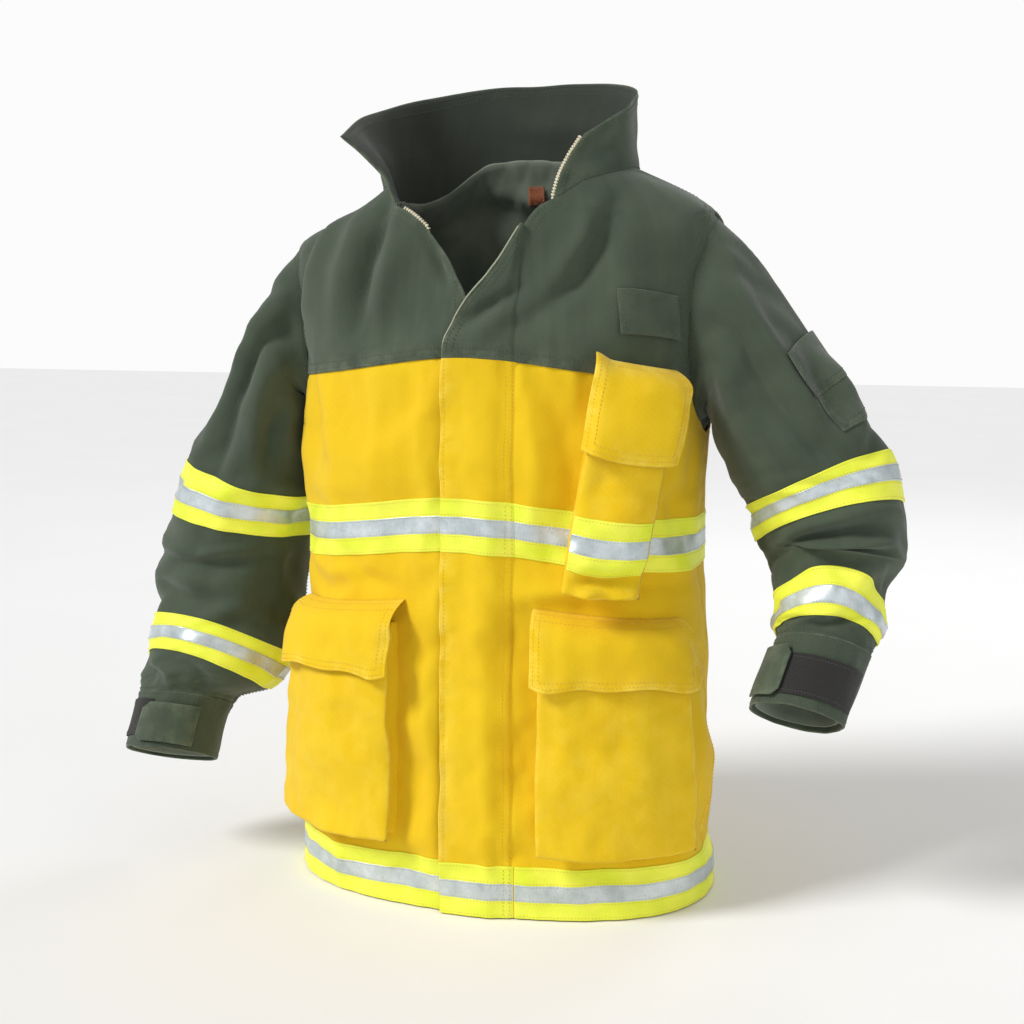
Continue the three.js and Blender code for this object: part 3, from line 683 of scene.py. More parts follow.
class Nodes:
    """A short way to write a material's nodes."""

    def __init__(self, name):
        self.material = bpy.data.materials.new(name)
        self.material.use_nodes = True
        self.tree = self.material.node_tree
        self.tree.nodes.clear()
        self.uv = self.node("ShaderNodeUVMap", uv_map="cloth").outputs[0]

    def node(self, kind, inputs=None, **settings):
        n = self.tree.nodes.new(kind)
        for key, value in settings.items():
            setattr(n, key, value)
        for key, value in (inputs or {}).items():
            if isinstance(value, bpy.types.NodeSocket):
                self.tree.links.new(value, n.inputs[key])
            else:
                n.inputs[key].default_value = value
        return n

    def noise(self, scale, detail=3.0, rough=0.55, vector=None, distort=0.0):
        vector = self.uv if vector is None else vector
        return self.node("ShaderNodeTexNoise", {"Vector": vector, "Scale": scale, "Detail": detail,
                                                "Roughness": rough, "Distortion": distort}).outputs["Fac"]

    def object_noise(self, scale, detail=3.0, rough=0.55):
        place = self.node("ShaderNodeTexCoord").outputs["Object"]
        return self.noise(scale, detail, rough, place)

    def worn(self, scale, low, high):
        """Where the piece's edges are rubbed, broken up by noise."""
        broken = self.range(self.object_noise(scale, 4.0, 0.7), low, high)
        return self.math("MULTIPLY", self.attribute("wear"), broken, True)

    def bands(self, pitch_mm, direction, distort=0.0, detail=0.0):
        scale = 0.314 / (pitch_mm * MM)
        inputs = {"Vector": self.uv, "Scale": scale, "Distortion": distort, "Detail": detail}
        wave = self.node("ShaderNodeTexWave", inputs, wave_type="BANDS", bands_direction=direction)
        return wave.outputs["Fac"]

    def math(self, operation, a, b=0.0, clamp=False):
        n = self.node("ShaderNodeMath", operation=operation, use_clamp=clamp)
        for k, value in enumerate((a, b)):
            if isinstance(value, bpy.types.NodeSocket):
                self.tree.links.new(value, n.inputs[k])
            else:
                n.inputs[k].default_value = value
        return n.outputs[0]

    def range(self, value, low, high, to_low=0.0, to_high=1.0):
        limits = {"From Min": low, "From Max": high, "To Min": to_low, "To Max": to_high}
        return self.node("ShaderNodeMapRange", {"Value": value, **limits}).outputs["Result"]

    def blend(self, factor, a, b, mode="MIX"):
        n = self.node("ShaderNodeMix", data_type="RGBA", blend_type=mode)
        for index, value in ((0, factor), (6, a), (7, b)):
            if isinstance(value, bpy.types.NodeSocket):
                self.tree.links.new(value, n.inputs[index])
            else:
                n.inputs[index].default_value = value
        return n.outputs[2]

    def attribute(self, name):
        return self.node("ShaderNodeAttribute", attribute_name=name).outputs["Fac"]

    def bump(self, height, distance_mm, strength=1.0, normal=None):
        inputs = {"Height": height, "Distance": distance_mm * MM, "Strength": strength}
        if normal is not None:
            inputs["Normal"] = normal
        return self.node("ShaderNodeBump", inputs).outputs["Normal"]

    def finish(self, **inputs):
        names = {key.replace("_", " "): value for key, value in inputs.items()}
        shader = self.node("ShaderNodeBsdfPrincipled", names)
        out = self.node("ShaderNodeOutputMaterial")
        self.tree.links.new(shader.outputs[0], out.inputs[0])
        return self.material


def rgb(r, g, b):
    """A colour given as it looks on a screen, 0 to 255, turned into linear light."""
    linear = [(c / 255 / 12.92 if c <= 10 else ((c / 255 + 0.055) / 1.055) ** 2.4) for c in (r, g, b)]
    return (*linear, 1.0)


YARN_PITCH, YARN_DEPTH, CLOTH_ROUGHNESS = 1.1, 0.30, 0.86


def woven(name, light, dark, worn, sheen, mottle=1.0):
    """Heavy plied cloth: crossing yarns with painted shade in the gaps between them, uneven dye, pale worn
    edges, a soft sheen.
    """
    n = Nodes(name)
    warp, weft = n.bands(YARN_PITCH, "X", 0.6, 1.0), n.bands(YARN_PITCH * 1.15, "Y", 0.6, 1.0)
    twill = n.bands(YARN_PITCH * 3.1, "DIAGONAL", 0.4, 1.0)
    yarns = n.math("ADD", n.math("MULTIPLY", warp, weft), n.math("MULTIPLY", twill, 0.08))
    patches = n.object_noise(9.0, 4.0, 0.6)
    stretched = n.node("ShaderNodeMapping", {"Vector": n.uv, "Scale": (1.0, 0.12, 1.0)}).outputs[0]
    streaks = n.noise(60.0, 3.0, 0.6, stretched)
    flecks = n.noise(1500.0, 2.0, 0.7)
    fine = n.math("ADD", n.math("MULTIPLY", streaks, 0.25), n.math("MULTIPLY", flecks, 0.2))
    tone = n.math("ADD", n.math("MULTIPLY", patches, 0.55), fine)
    colour = n.blend(n.range(tone, 0.5 - 0.16 / mottle, 0.5 + 0.16 / mottle), dark, light)
    # Painted shade: the colour is darkened in the gaps between the yarns, where shade falls.
    between = n.math("MULTIPLY", n.range(yarns, 0.0, 1.1, 1.0, 0.0), 0.24)
    colour = n.blend(between, colour, (0.25, 0.25, 0.22, 1), "MULTIPLY")
    colour = n.blend(n.math("MULTIPLY", n.worn(45.0, 0.42, 0.62), 0.55), colour, worn)
    fuzz = n.bump(flecks, 0.12, 0.5)
    normal = n.bump(yarns, YARN_DEPTH, 0.55, n.bump(n.object_noise(120.0, 3.0), 0.5, 0.35, fuzz))
    roughness = n.range(tone, 0.2, 0.8, CLOTH_ROUGHNESS - 0.07, CLOTH_ROUGHNESS + 0.07)
    return n.finish(Base_Color=colour, Roughness=roughness, Normal=normal, Sheen_Weight=sheen,
                    Sheen_Roughness=0.45, Specular_IOR_Level=0.25)


GOLD = woven("gold_cloth", rgb(253, 215, 30), rgb(246, 199, 14), rgb(255, 230, 100), sheen=0.12, mottle=0.8)
GREEN = woven("green_cloth", rgb(84, 96, 78), rgb(62, 74, 60), rgb(112, 122, 100), sheen=0.22)
DARK = woven("dark_cloth", rgb(64, 69, 60), rgb(50, 55, 48), rgb(84, 90, 78), sheen=0.15)


def make_lining():
    n = Nodes("quilted_lining")
    yarns = n.math("MULTIPLY", n.bands(0.8, "X"), n.bands(0.8, "Y"))
    tone = n.object_noise(14.0, 4.0)
    # Painted light: the lining's colour is made much lighter than its own, to stand in for light that the
    # inside of the coat does not get.
    colour = n.blend(n.range(tone, 0.35, 0.65), rgb(98, 107, 93), rgb(122, 130, 114))
    return n.finish(Base_Color=colour, Roughness=0.92, Sheen_Weight=0.35, Sheen_Roughness=0.5,
                    Normal=n.bump(yarns, 0.2, 0.5), Specular_IOR_Level=0.2)


def make_lime():
    """Fluorescent knitted ribbon, with painted shade between its ribs and a painted glow."""
    n = Nodes("lime_ribbon")
    ribs = n.math("MULTIPLY", n.bands(1.0, "X", 0.3), n.bands(1.5, "Y", 0.3))
    patches, flecks = n.object_noise(22.0, 4.0), n.noise(900.0, 2.0)
    tone = n.math("ADD", n.math("MULTIPLY", patches, 0.6), n.math("MULTIPLY", flecks, 0.4))
    colour = n.blend(n.range(tone, 0.35, 0.65), rgb(214, 228, 20), rgb(248, 246, 84))
    # Painted shade: the colour is darkened in the gaps between the ribs, where shade falls.
    between = n.math("MULTIPLY", n.range(ribs, 0.0, 1.0, 1.0, 0.0), 0.18)
    colour = n.blend(between, colour, (0.45, 0.55, 0.2, 1), "MULTIPLY")
    colour = n.blend(n.math("MULTIPLY", n.worn(60.0, 0.45, 0.7), 0.35), colour, rgb(196, 196, 60))
    # Painted glow: the emission makes the ribbon shine by itself, standing in for its fluorescent brightness.
    return n.finish(Base_Color=colour, Roughness=0.55, Normal=n.bump(ribs, 0.25, 0.6), Emission_Color=colour,
                    Emission_Strength=0.16, Sheen_Weight=0.1)


def make_silver():
    """Retroreflective tape: a fine bed of beads on a grey metal film, with creases and handling marks, and
    pale and grey blotches painted in as reflections.
    """
    n = Nodes("silver_tape")
    beads = n.node("ShaderNodeTexVoronoi", {"Vector": n.uv, "Scale": 1400.0}).outputs["Distance"]
    # Painted reflection: tone spreads pale and grey blotches over the tape's colour, standing in for its
    # reflections.
    tone = n.object_noise(30.0, 5.0, 0.65)
    scuffs = n.range(n.noise(160.0, 4.0, 0.7, distort=1.2), 0.56, 0.66)
    colour = n.blend(n.range(tone, 0.3, 0.7), rgb(176, 188, 190), rgb(222, 230, 234))
    colour = n.blend(n.math("MULTIPLY", scuffs, 0.25), colour, rgb(128, 138, 140))
    rough = n.math("ADD", n.range(tone, 0.3, 0.7, 0.34, 0.46), n.math("MULTIPLY", scuffs, 0.12))
    normal = n.bump(beads, 0.06, 0.5, n.bump(n.object_noise(70.0, 3.0), 0.5, 0.4))
    return n.finish(Base_Color=colour, Metallic=0.45, Roughness=rough, Normal=normal)


def make_pile():
    """Black hook and loop tape."""
    n = Nodes("hook_and_loop")
    cells = {"Vector": n.uv, "Scale": 800.0, "Randomness": 0.9}
    loops = n.node("ShaderNodeTexVoronoi", cells).outputs["Distance"]
    fibres = n.noise(1800.0, 2.0, 0.7)
    colour = n.blend(n.range(fibres, 0.3, 0.7), rgb(20, 19, 18), rgb(42, 40, 38))
    return n.finish(Base_Color=colour, Roughness=0.95, Sheen_Weight=0.12, Sheen_Roughness=0.6,
                    Normal=n.bump(loops, 0.8, 0.9, n.bump(fibres, 0.3, 0.6)))


def make_thread(name, colour, bright):
    n = Nodes(name)
    tone = n.object_noise(300.0, 2.0)
    return n.finish(Base_Color=n.blend(tone, colour, bright), Roughness=0.7, Sheen_Weight=0.2)


def make_ivory():
    n = Nodes("ivory_resin")
    tone = n.object_noise(260.0, 3.0)
    colour = n.blend(n.range(tone, 0.35, 0.65), rgb(206, 196, 160), rgb(236, 230, 206))
    return n.finish(Base_Color=colour, Roughness=n.range(tone, 0.3, 0.7, 0.32, 0.5),
                    Normal=n.bump(tone, 0.1, 0.4), Subsurface_Weight=0.05,
                    Subsurface_Radius=(0.002, 0.0015, 0.001))


def make_brass():
    n = Nodes("worn_brass")
    tone = n.object_noise(400.0, 5.0, 0.7)
    colour = n.blend(n.range(tone, 0.4, 0.6), rgb(150, 118, 66), rgb(206, 172, 108))
    return n.finish(Base_Color=colour, Metallic=1.0, Roughness=n.range(tone, 0.3, 0.7, 0.26, 0.5),
                    Normal=n.bump(tone, 0.05, 0.4))


def make_rust():
    n = Nodes("rust_satin")
    yarns = n.math("MULTIPLY", n.bands(0.6, "X"), n.bands(0.6, "Y"))
    colour = n.blend(n.range(n.noise(300.0, 3.0), 0.35, 0.65), rgb(126, 62, 28), rgb(168, 88, 40))
    return n.finish(Base_Color=colour, Roughness=0.55, Sheen_Weight=0.3, Normal=n.bump(yarns, 0.15, 0.6))


LINING, LIME, SILVER, PILE = make_lining(), make_lime(), make_silver(), make_pile()
IVORY, BRASS, RUST = make_ivory(), make_brass(), make_rust()
GOLD_THREAD = make_thread("gold_thread", rgb(214, 158, 20), rgb(240, 192, 60))
GREEN_THREAD = make_thread("green_thread", rgb(58, 66, 54), rgb(84, 92, 76))
LIME_THREAD = make_thread("lime_thread", rgb(222, 176, 70), rgb(240, 200, 110))
PALE_THREAD = make_thread("pale_thread", rgb(150, 154, 128), rgb(182, 184, 158))


# ---- Shared pieces of tailoring ----------------------------------------------------------------------

SHELL = 2.4     # thickness of the outer cloth
STEP = 5.0


def cloth_uv(deg, h):
    return np.stack(np.broadcast_arrays(MM_PER_DEG * deg, h), -1) * MM


def torso_stitches(piece, deg, h, distance, thread, **more):
    """A stitched row along a line on the body."""
    piece.sew(torso, deg, h, distance, thread, **more)


def sleeve_stitches(piece, suffix, station, deg, distance, thread, **more):
    """A stitched row along a line on a sleeve."""
    piece.sew(lambda *place: sleeve(suffix, *place), station, deg, distance, thread, **more)


WEAR_REACH = 9.0


def edge_wear(columns, rows, sides=(1, 1, 1, 1)):
    """1 on a panel's edges, fading inwards. columns and rows are in mm, and sides turns edges on or off."""
    x, y = grid(columns, rows)
    far = np.full(x.shape, 1e9)
    for on, away in zip(sides, (x - x.min(), x.max() - x, y - y.min(), y.max() - y)):
        if on:
            far = np.minimum(far, away)
    return np.exp(-far / WEAR_REACH)


def neck_edge_deg(h, suffix):
    return along(NECK_EDGE[suffix], 1, np.asarray(h, float))


def panel_grid(wide, high):
    """Shares across and up a panel of about this size, as rows and as a grid."""
    u, v = rows_between(0, wide, STEP) / wide, rows_between(0, high, STEP) / high
    return u, v, *grid(u, v)


def armhole_stitches(piece, places, distance):
    """Two rows beside each armhole. places turn degrees from its middle into degrees round the body."""
    turn = np.radians(np.linspace(12, 168, 60))
    for gap in (5.0, 11.0):
        deg = (ARMHOLE_HALF_DEG + gap / 3.4) * np.sin(turn)
        h = ARMHOLE_H + (ARMHOLE_HALF_H + gap) * np.cos(turn)
        keep = h > YOKE_H + 4
        for place in places:
            torso_stitches(piece, place(deg[keep]), h[keep], distance, GREEN_THREAD)


def seam_height(deg, suffix):
    return along(COLLAR_SEAM[suffix], 1, np.clip(np.abs(deg), 39, 180))


def seam_height_round(deg):
    """The collar seam's height at any angle from 0 to 360."""
    return np.where(deg <= 180, seam_height(deg, "left"), seam_height(360 - deg, "right"))


# ---- Body panels -------------------------------------------------------------------------------------

def front_panel(suffix):
    side = SIDES[suffix]
    u, h = rows_between(0, 310, STEP) / 310, rows_between(1.0, YOKE_H + 5, STEP)
    U, H = grid(u, h)
    deg = mix(neck_edge_deg(H, suffix), 90.9 - armhole_deg(H), U)
    tuck = 2.5 * smooth(H, YOKE_H - 8, YOKE_H + 1) + 2.3 * smooth(deg, 89, 90.2) * (H < 530)
    piece = Piece("shell_front_" + suffix)
    piece.sheet(torso, side * deg, H, SHELL - tuck, -tuck, cloth_uv, GOLD,
                wear=edge_wear(u * 310, h, sides=(1, 1, 1, 0)))
    rows = np.arange(4, YOKE_H - 2, 3.0)
    for x in (5.0, 12.0):
        torso_stitches(piece, side * (neck_edge_deg(rows, suffix) + x / 2.6), rows, SHELL, GOLD_THREAD)
    torso_stitches(piece, side * np.linspace(6, 89, 90), 20.0, SHELL, GOLD_THREAD)
    piece.make("front_panel_" + suffix, "coat")


def back_panel():
    u, h = rows_between(0, 620, STEP) / 620, rows_between(1.0, YOKE_H + 5, STEP)
    U, H = grid(u, h)
    edge = 89.4 + armhole_deg(H)
    tuck = 2.5 * smooth(H, YOKE_H - 8, YOKE_H + 1)
    piece = Piece("shell_back")
    piece.sheet(torso, mix(edge, 360 - edge, U), H, SHELL + 0.3 - tuck, 0.2 - tuck, cloth_uv, GOLD,
                wear=edge_wear(u * 620, h, sides=(1, 1, 1, 0)))
    rows = np.arange(4, 530, 3.0)
    for x in (1.0, 3.0):
        torso_stitches(piece, 89.4 + x, rows, SHELL + 0.3, GOLD_THREAD)
        torso_stitches(piece, 270.6 - x, rows, SHELL + 0.3, GOLD_THREAD)
    torso_stitches(piece, np.linspace(91, 269, 180), 20.0, SHELL + 0.3, GOLD_THREAD)
    piece.make("back_panel", "coat")


def yoke_front(suffix):
    side = SIDES[suffix]
    u, v, U, V = panel_grid(230, 190)
    H = mix(YOKE_H - 0.8, seam_height(mix(39, 90, U), suffix) + 3, V)
    deg = mix(neck_edge_deg(H, suffix), 90.6 - armhole_deg(H), U)
    piece = Piece("yoke_front_cloth_" + suffix)
    piece.sheet(torso, side * deg, H, SHELL + 0.5, 0.2, cloth_uv, GREEN,
                wear=edge_wear(u * 230, v * 190, sides=(1, 0, 1, 0)))
    for y in (2.5, 9.0):
        torso_stitches(piece, side * np.linspace(5.5, 76, 110), YOKE_H + y, SHELL + 0.5, GREEN_THREAD)
    rows = np.linspace(600, 762, 60)
    for x in (5.0, 12.0):
        torso_stitches(piece, side * (neck_edge_deg(rows, suffix) + x / 2.4), rows, SHELL + 0.5, GREEN_THREAD)
    armhole_stitches(piece, [lambda deg: side * (90 - deg)], SHELL + 0.5)
    piece.make("yoke_front_" + suffix, "coat")


def yoke_back():
    u, v, U, V = panel_grid(600, 200)
    H = mix(YOKE_H - 0.8, seam_height_round(mix(90, 270, U)) + 3, V)
    edge = 89.6 + armhole_deg(H)
    piece = Piece("yoke_back_cloth")
    piece.sheet(torso, mix(edge, 360 - edge, U), H, SHELL + 0.8, 0.2, cloth_uv, GREEN,
                wear=edge_wear(u * 600, v * 200, sides=(1, 1, 1, 0)))
    for y in (2.5, 9.0):
        torso_stitches(piece, np.linspace(104, 256, 170), YOKE_H + y, SHELL + 0.8, GREEN_THREAD)
    armhole_stitches(piece, [lambda deg: 90 + deg, lambda deg: 270 - deg], SHELL + 0.8)
    rows = np.linspace(795, 822, 12)
    for x in (1.2, 4.0):
        torso_stitches(piece, 90 + x, rows, SHELL + 0.8, GREEN_THREAD)
        torso_stitches(piece, 270 - x, rows, SHELL + 0.8, GREEN_THREAD)
    piece.make("yoke_back", "coat")


LINER_LOW = 24
QUILT_PITCH = 62.0


def quilting(deg, h):
    """Diamond quilting: puffed between the sewn lines."""
    x, y = MM_PER_DEG * deg, h
    a, b = (x + y) / QUILT_PITCH, (x - y) / QUILT_PITCH
    near = np.minimum(np.abs(a - np.round(a)), np.abs(b - np.round(b)))
    return 2.2 * np.sqrt(np.clip(near * 2, 0, 1))


def liner_part(name, node, place, wide):
    """One part of the liner. place turns shares across and up it into degrees and a height."""
    v = (rows_between(LINER_LOW, 760, 7) - LINER_LOW) / (760 - LINER_LOW)
    deg, H = place(*grid(rows_between(0, wide, 7) / wide, v))
    piece = Piece(name)
    piece.sheet(torso, deg, H, -4.4, -6.2 - quilting(deg, H), cloth_uv, LINING)
    piece.make(node, "coat")


def liner():
    def back(U, V):
        deg = mix(90, 270, U)
        return deg, mix(LINER_LOW, seam_height_round(deg) + 2, V)

    for suffix, side in SIDES.items():
        def front(U, V, side=side, suffix=suffix):
            H = mix(LINER_LOW, seam_height(mix(39, 90, U), suffix) + 2, V)
            return side * mix(neck_edge_deg(H, suffix) + 1.2, 90, U), H

        liner_part("quilt_front_" + suffix, "liner_front_" + suffix, front, 300)
    liner_part("quilt_back", "liner_back", back, 600)


# ---- Collar ------------------------------------------------------------------------------------------

# The collar's top edge, from the wearer's left front corner round the back to the right front corner.
COLLAR_TOP = np.array([
    [112, -84, 820], [133, -58, 838], [146, -16, 857], [136, 36, 877], [100, 82, 889], [52, 106, 893],
    [0, 112, 893], [-52, 106, 892], [-104, 80, 882], [-140, 34, 868], [-158, -28, 850], [-157, -92, 823]])


def spline(points, t):
    """A smooth curve through points, at t from 0 to 1."""
    n = len(points) - 1
    s = np.clip(np.asarray(t, float), 0, 1) * n
    k = np.clip(np.floor(s).astype(int), 0, n - 1)
    f = (s - k)[..., None]
    a, b = points[k], points[k + 1]
    before = np.where((k > 0)[..., None], points[np.maximum(k - 1, 0)], 2 * a - b)
    after = np.where((k + 2 <= n)[..., None], points[np.minimum(k + 2, n)], 2 * b - a)
    return catmull(before, a, b, after, f)


COLLAR_LONG, COLLAR_HIGH = 560, 86
collar_ripple = Undulation(40, 120, 8)


def collar_base(t, v):
    deg = mix(39, 321, t)
    foot = torso(np.where(deg > 180, deg - 360, deg), seam_height_round(deg), 1.6)
    top = spline(COLLAR_TOP, t)
    # The stand rises from the neck, then rolls out to the top edge.
    lean = v - 0.16 * np.sin(np.pi * v)
    return foot + (top - foot) * np.stack([lean, lean, v], -1)


def collar_surface(t, v, distance=0.0):
    t, v, distance = np.broadcast_arrays(np.asarray(t, float), v, distance)
    p = collar_base(t, v)
    across = collar_base(np.minimum(t + 0.004, 1), v) - collar_base(np.maximum(t - 0.004, 0), v)
    up = collar_base(t, np.minimum(v + 0.02, 1)) - collar_base(t, np.maximum(v - 0.02, 0))
    ripple = 1.3 * collar_ripple(COLLAR_LONG * t, 90 * v) * smooth(v, 0, 0.35)
    crest = -2.5 * np.exp(-((v - 0.42) / 0.16) ** 2) * (0.6 + 0.4 * np.sin(17 * t))
    return p + unit(np.cross(across, up)) * (distance + ripple + crest)[..., None]


def collar_uv(t, v):
    return np.stack(np.broadcast_arrays(COLLAR_LONG * t, COLLAR_HIGH * v), -1) * MM


def collar():
    t, v = rows_between(0, COLLAR_LONG, 4.5) / COLLAR_LONG, rows_between(0, COLLAR_HIGH, 4) / COLLAR_HIGH
    T, V = grid(t, v)
    roll = 1.6 * smooth(V, 0.93, 1.0)
    top_rows = [(np.linspace(0.012, 0.988, 260), 1 - y / COLLAR_HIGH) for y in (3.5, 11.0)]
    piece = Piece("collar_cloth")
    piece.sheet(collar_surface, T, V, 1.7 - roll * 0.6, -0.7 + roll * 0.2, collar_uv, GREEN,
                wear=edge_wear(t * COLLAR_LONG, v * COLLAR_HIGH, sides=(1, 1, 0, 1)))
    ends = [(end, np.linspace(0.05, 0.93, 30)) for end in (0.012, 0.988)]
    for line in (*top_rows, (np.linspace(0.01, 0.99, 260), 0.035), *ends):
        piece.sew(collar_surface, *line, 1.7, GREEN_THREAD)
    piece.make("collar", "coat")

    lining = Piece("collar_facing")
    lining.shell(collar_surface(T, 0.985 * V, -0.9), collar_surface(T, 0.985 * V, -3.2 + roll * 0.9),
                 collar_uv(T, 0.985 * V), DARK)
    for line in top_rows:
        lining.sew(collar_surface, *line, -3.2, GREEN_THREAD, up=-1.0)
    lining.make("collar_lining", "coat")


# ---- Zip ---------------------------------------------------------------------------------------------

ZIP_LOW = 22
ZIP_TOP_H = 566
ZIP_PITCH = 3.2


def zip_edge(h, suffix):
    """Degrees round to a zip half's edge: at the front centre, then turned under along the neck opening."""
    centre = deg_at(1.6, h)
    turned = 3.4 if suffix == "left" else mix(3.4, -0.9, smooth(h, 722, 733))
    open_edge = mix(centre, neck_edge_deg(h, suffix) + turned, smooth(h, ZIP_TOP_H, 600))
    return np.where(h <= ZIP_TOP_H, centre, open_edge)


def zip_half(suffix):
    side = SIDES[suffix]
    X, H = grid(np.linspace(0, 17, 5), rows_between(ZIP_LOW, 764, 5))
    tape = Piece("zip_tape_cloth_" + suffix)
    tape.sheet(torso, side * (zip_edge(H, suffix) + X / 2.5), H, -1.0, -2.4, cloth_uv, DARK)
    tape.make("zip_tape_" + suffix, "coat")

    line = np.arange(ZIP_LOW + 2, 762, 0.5)
    edge = side * zip_edge(line, suffix)
    points, out = torso(edge, line, -0.6), torso(edge, line, 1.0) - torso(edge, line, 0.0)
    if suffix == "left":
        # The left edge carries on up the front of the collar.
        v = np.linspace(0.03, 0.97, 120)
        points = np.concatenate([points, collar_surface(0.0, v, -0.4) + np.array([-1.2, -1.0, 0])])
        out = np.concatenate([out, collar_surface(0.0, v, 1.0) - collar_surface(0.0, v, 0.0)])
    far = path_length(points)

    def read(place, values):
        return np.stack([np.interp(place, far, values[:, k]) for k in range(3)], -1)

    # The teeth of the two halves alternate.
    at = np.arange(ZIP_PITCH if side > 0 else ZIP_PITCH / 2, far[-1], ZIP_PITCH)
    ahead = unit(read(at + 0.8, points) - read(at - 0.8, points))
    up = unit(read(at, out))
    across = unit(np.cross(ahead, up))
    up = unit(np.cross(across, ahead))
    axes = np.stack([across, ahead, up], 1)
    teeth = Piece("zip_teeth_row_" + suffix)
    teeth.blocks(read(at, points), axes, (4.6, 1.9, 2.8), IVORY)
    teeth.cord(points[::6] + 0.2 * up[0], 0.9, IVORY)
    teeth.make("zip_teeth_" + suffix, "coat")


def zip_slider():
    """The slider rests under the storm flap, flat enough to stay hidden, with its pull hanging down."""
    piece = Piece("zip_slider_cast")
    X, H = grid(rows_between(-6.2, 6.2, 1.6, (0.7, 1.6)), rows_between(538, 562, 2))
    flare = 0.72 + 0.28 * smooth(H, 538, 556)
    puff = 1.0 * np.cos(X / 6.2 * 1.35) ** 0.7
    deg = deg_at(X * flare, H)
    piece.shell(torso(deg, H, 2.9 + puff), torso(deg, H, 2.3), cloth_uv(X / MM_PER_DEG, H), BRASS)
    turn = np.linspace(0, np.pi, 15)
    bridge = torso(0.0 * turn, 550 + 8 * np.cos(turn), 3.6 + 1.2 * np.sin(turn) ** 0.7)
    piece.cord(bridge, 0.6, BRASS, squash=(2.4, 0.9), normal=[0, -1.0, 0.1])
    piece.make("zip_slider", "zip_slider")

    pull = Piece("zip_pull_tab")
    turn = np.linspace(0, 2 * np.pi, 49)
    x, h = 3.4 * np.sin(turn) * (1 + 0.15 * np.cos(turn)), 522 + 17 * np.cos(turn)
    pull.cord(torso(deg_at(x, h), h, 4.2), 0.8, BRASS, normal=[0, -1.0, 0], squash=(1.3, 0.8))
    turn = np.linspace(0, 2 * np.pi, 25)
    x, h = 2.2 * np.sin(turn), 506 + 3 * np.cos(turn)
    pull.cord(torso(deg_at(x, h), h, 4.3), 0.7, BRASS, normal=[0, -1.0, 0])
    pull.make("zip_pull", "zip_slider")


# ---- Storm flap --------------------------------------------------------------------------------------

FLAP_X = (-22, 58)
FLAP_THICK = 2.8
# x of the flap's free edge, by height: upright, then climbing along the neck opening
FLAP_EDGE = np.array([
    [0, -22], [560, -21.5], [602, -19.5], [630, -10], [650, 1.5], [672, 18], [697, 35.5], [718, 47.5],
    [735, 57]])


def flap_edge(h):
    return along(FLAP_EDGE, 1, np.asarray(h, float))


def flap_lift(u):
    """Clear of the zip at the free edge, down on the panel at the seam."""
    return -1.2 + 3.6 * (1 - smooth(u, 0.90, 1.0)) + 4.4 * (1 - smooth(u, 0.62, 0.92))


def flap_wave(u, h):
    """How much the flap's face waves, least at the seam."""
    return 1.2 * np.sin(h / 63.0) * (1 - u) + 0.6 * np.sin(h / 23.0 + 1) * (1 - u)


def flap_point(x, h, distance):
    return torso(deg_at(x, h), h, distance)


def flap_uv(x, h):
    return cloth_uv(x / 2.5, h)


def flap_stitches(piece, x, h, lift, thread):
    torso_stitches(piece, deg_at(x, h), h, lift, thread)


def storm_flap():
    width = FLAP_X[1] - FLAP_X[0]
    u = np.concatenate([rows_between(0, 62, 5) / width, [0.83, 0.88, 0.92, 0.955, 0.98, 1.0]])

    def cloth(name, h, material, raised, sides):
        U, H = grid(u, h)
        low = flap_lift(U) + flap_wave(U, H) * (U < 0.95) + raised
        piece = Piece(name)
        piece.sheet(flap_point, mix(flap_edge(H), FLAP_X[1], U), H, low + FLAP_THICK, low, flap_uv, material,
                    wear=edge_wear(u * width, h, sides=sides))
        return piece

    piece = cloth("storm_flap_cloth", rows_between(1.0, YOKE_H + 6, STEP), GOLD, 0.0, (1, 0, 1, 0))
    rows = np.arange(5, YOKE_H - 2, 3.0)
    for share in (0.05, 0.85, 0.9375):
        lift = flap_lift(share) + FLAP_THICK + flap_wave(share, rows)
        flap_stitches(piece, FLAP_X[0] + share * width, rows, lift, GOLD_THREAD)
    piece.make("storm_flap", "storm_flap")

    yoke = cloth("storm_flap_yoke_cloth", rows_between(YOKE_H - 1, 733, STEP), GREEN, 0.5, (1, 0, 1, 1))
    rows = np.linspace(YOKE_H + 4, 720, 60)
    for gap in (4.0, 11.0):
        x = np.minimum(flap_edge(rows) + gap, FLAP_X[1] - 2)
        flap_stitches(yoke, x, rows, flap_lift(0.1) + FLAP_THICK + 1.2, GREEN_THREAD)
    x = np.linspace(FLAP_X[0] + 4, FLAP_X[1] - 4, 30)
    lift = flap_lift((x - FLAP_X[0]) / width) + FLAP_THICK + 0.9
    for gap in (2.5, 9.0):
        flap_stitches(yoke, x, YOKE_H + gap, lift, GREEN_THREAD)
    rows = np.linspace(YOKE_H + 2, 731, 70)
    edge = flap_point(flap_edge(rows), rows, flap_lift(0.0) + FLAP_THICK * 0.5 + 0.6)
    yoke.cord(edge, 0.9, PALE_THREAD, normal=[0, -1.0, 0.2], squash=(1.0, 1.6))
    yoke.make("storm_flap_yoke", "storm_flap")

    X, H = grid(rows_between(-20, -10, 3, (0.8,)), rows_between(70, 570, 6))
    low = flap_lift(0.1) + flap_wave(0.0, H)
    for name, node, top, bottom, body in (
            ("storm_flap_hook_tape", "storm_flap_hook_strip", low - 0.1, low - 1.3, "storm_flap"),
            ("placket_loop_tape", "placket_loop_strip", SHELL + 1.5, SHELL + 0.1, "coat")):
        strip = Piece(name)
        strip.sheet(flap_point, X, H, top, bottom, flap_uv, PILE)
        strip.make(node, body)


# ---- Reflective trim ---------------------------------------------------------------------------------

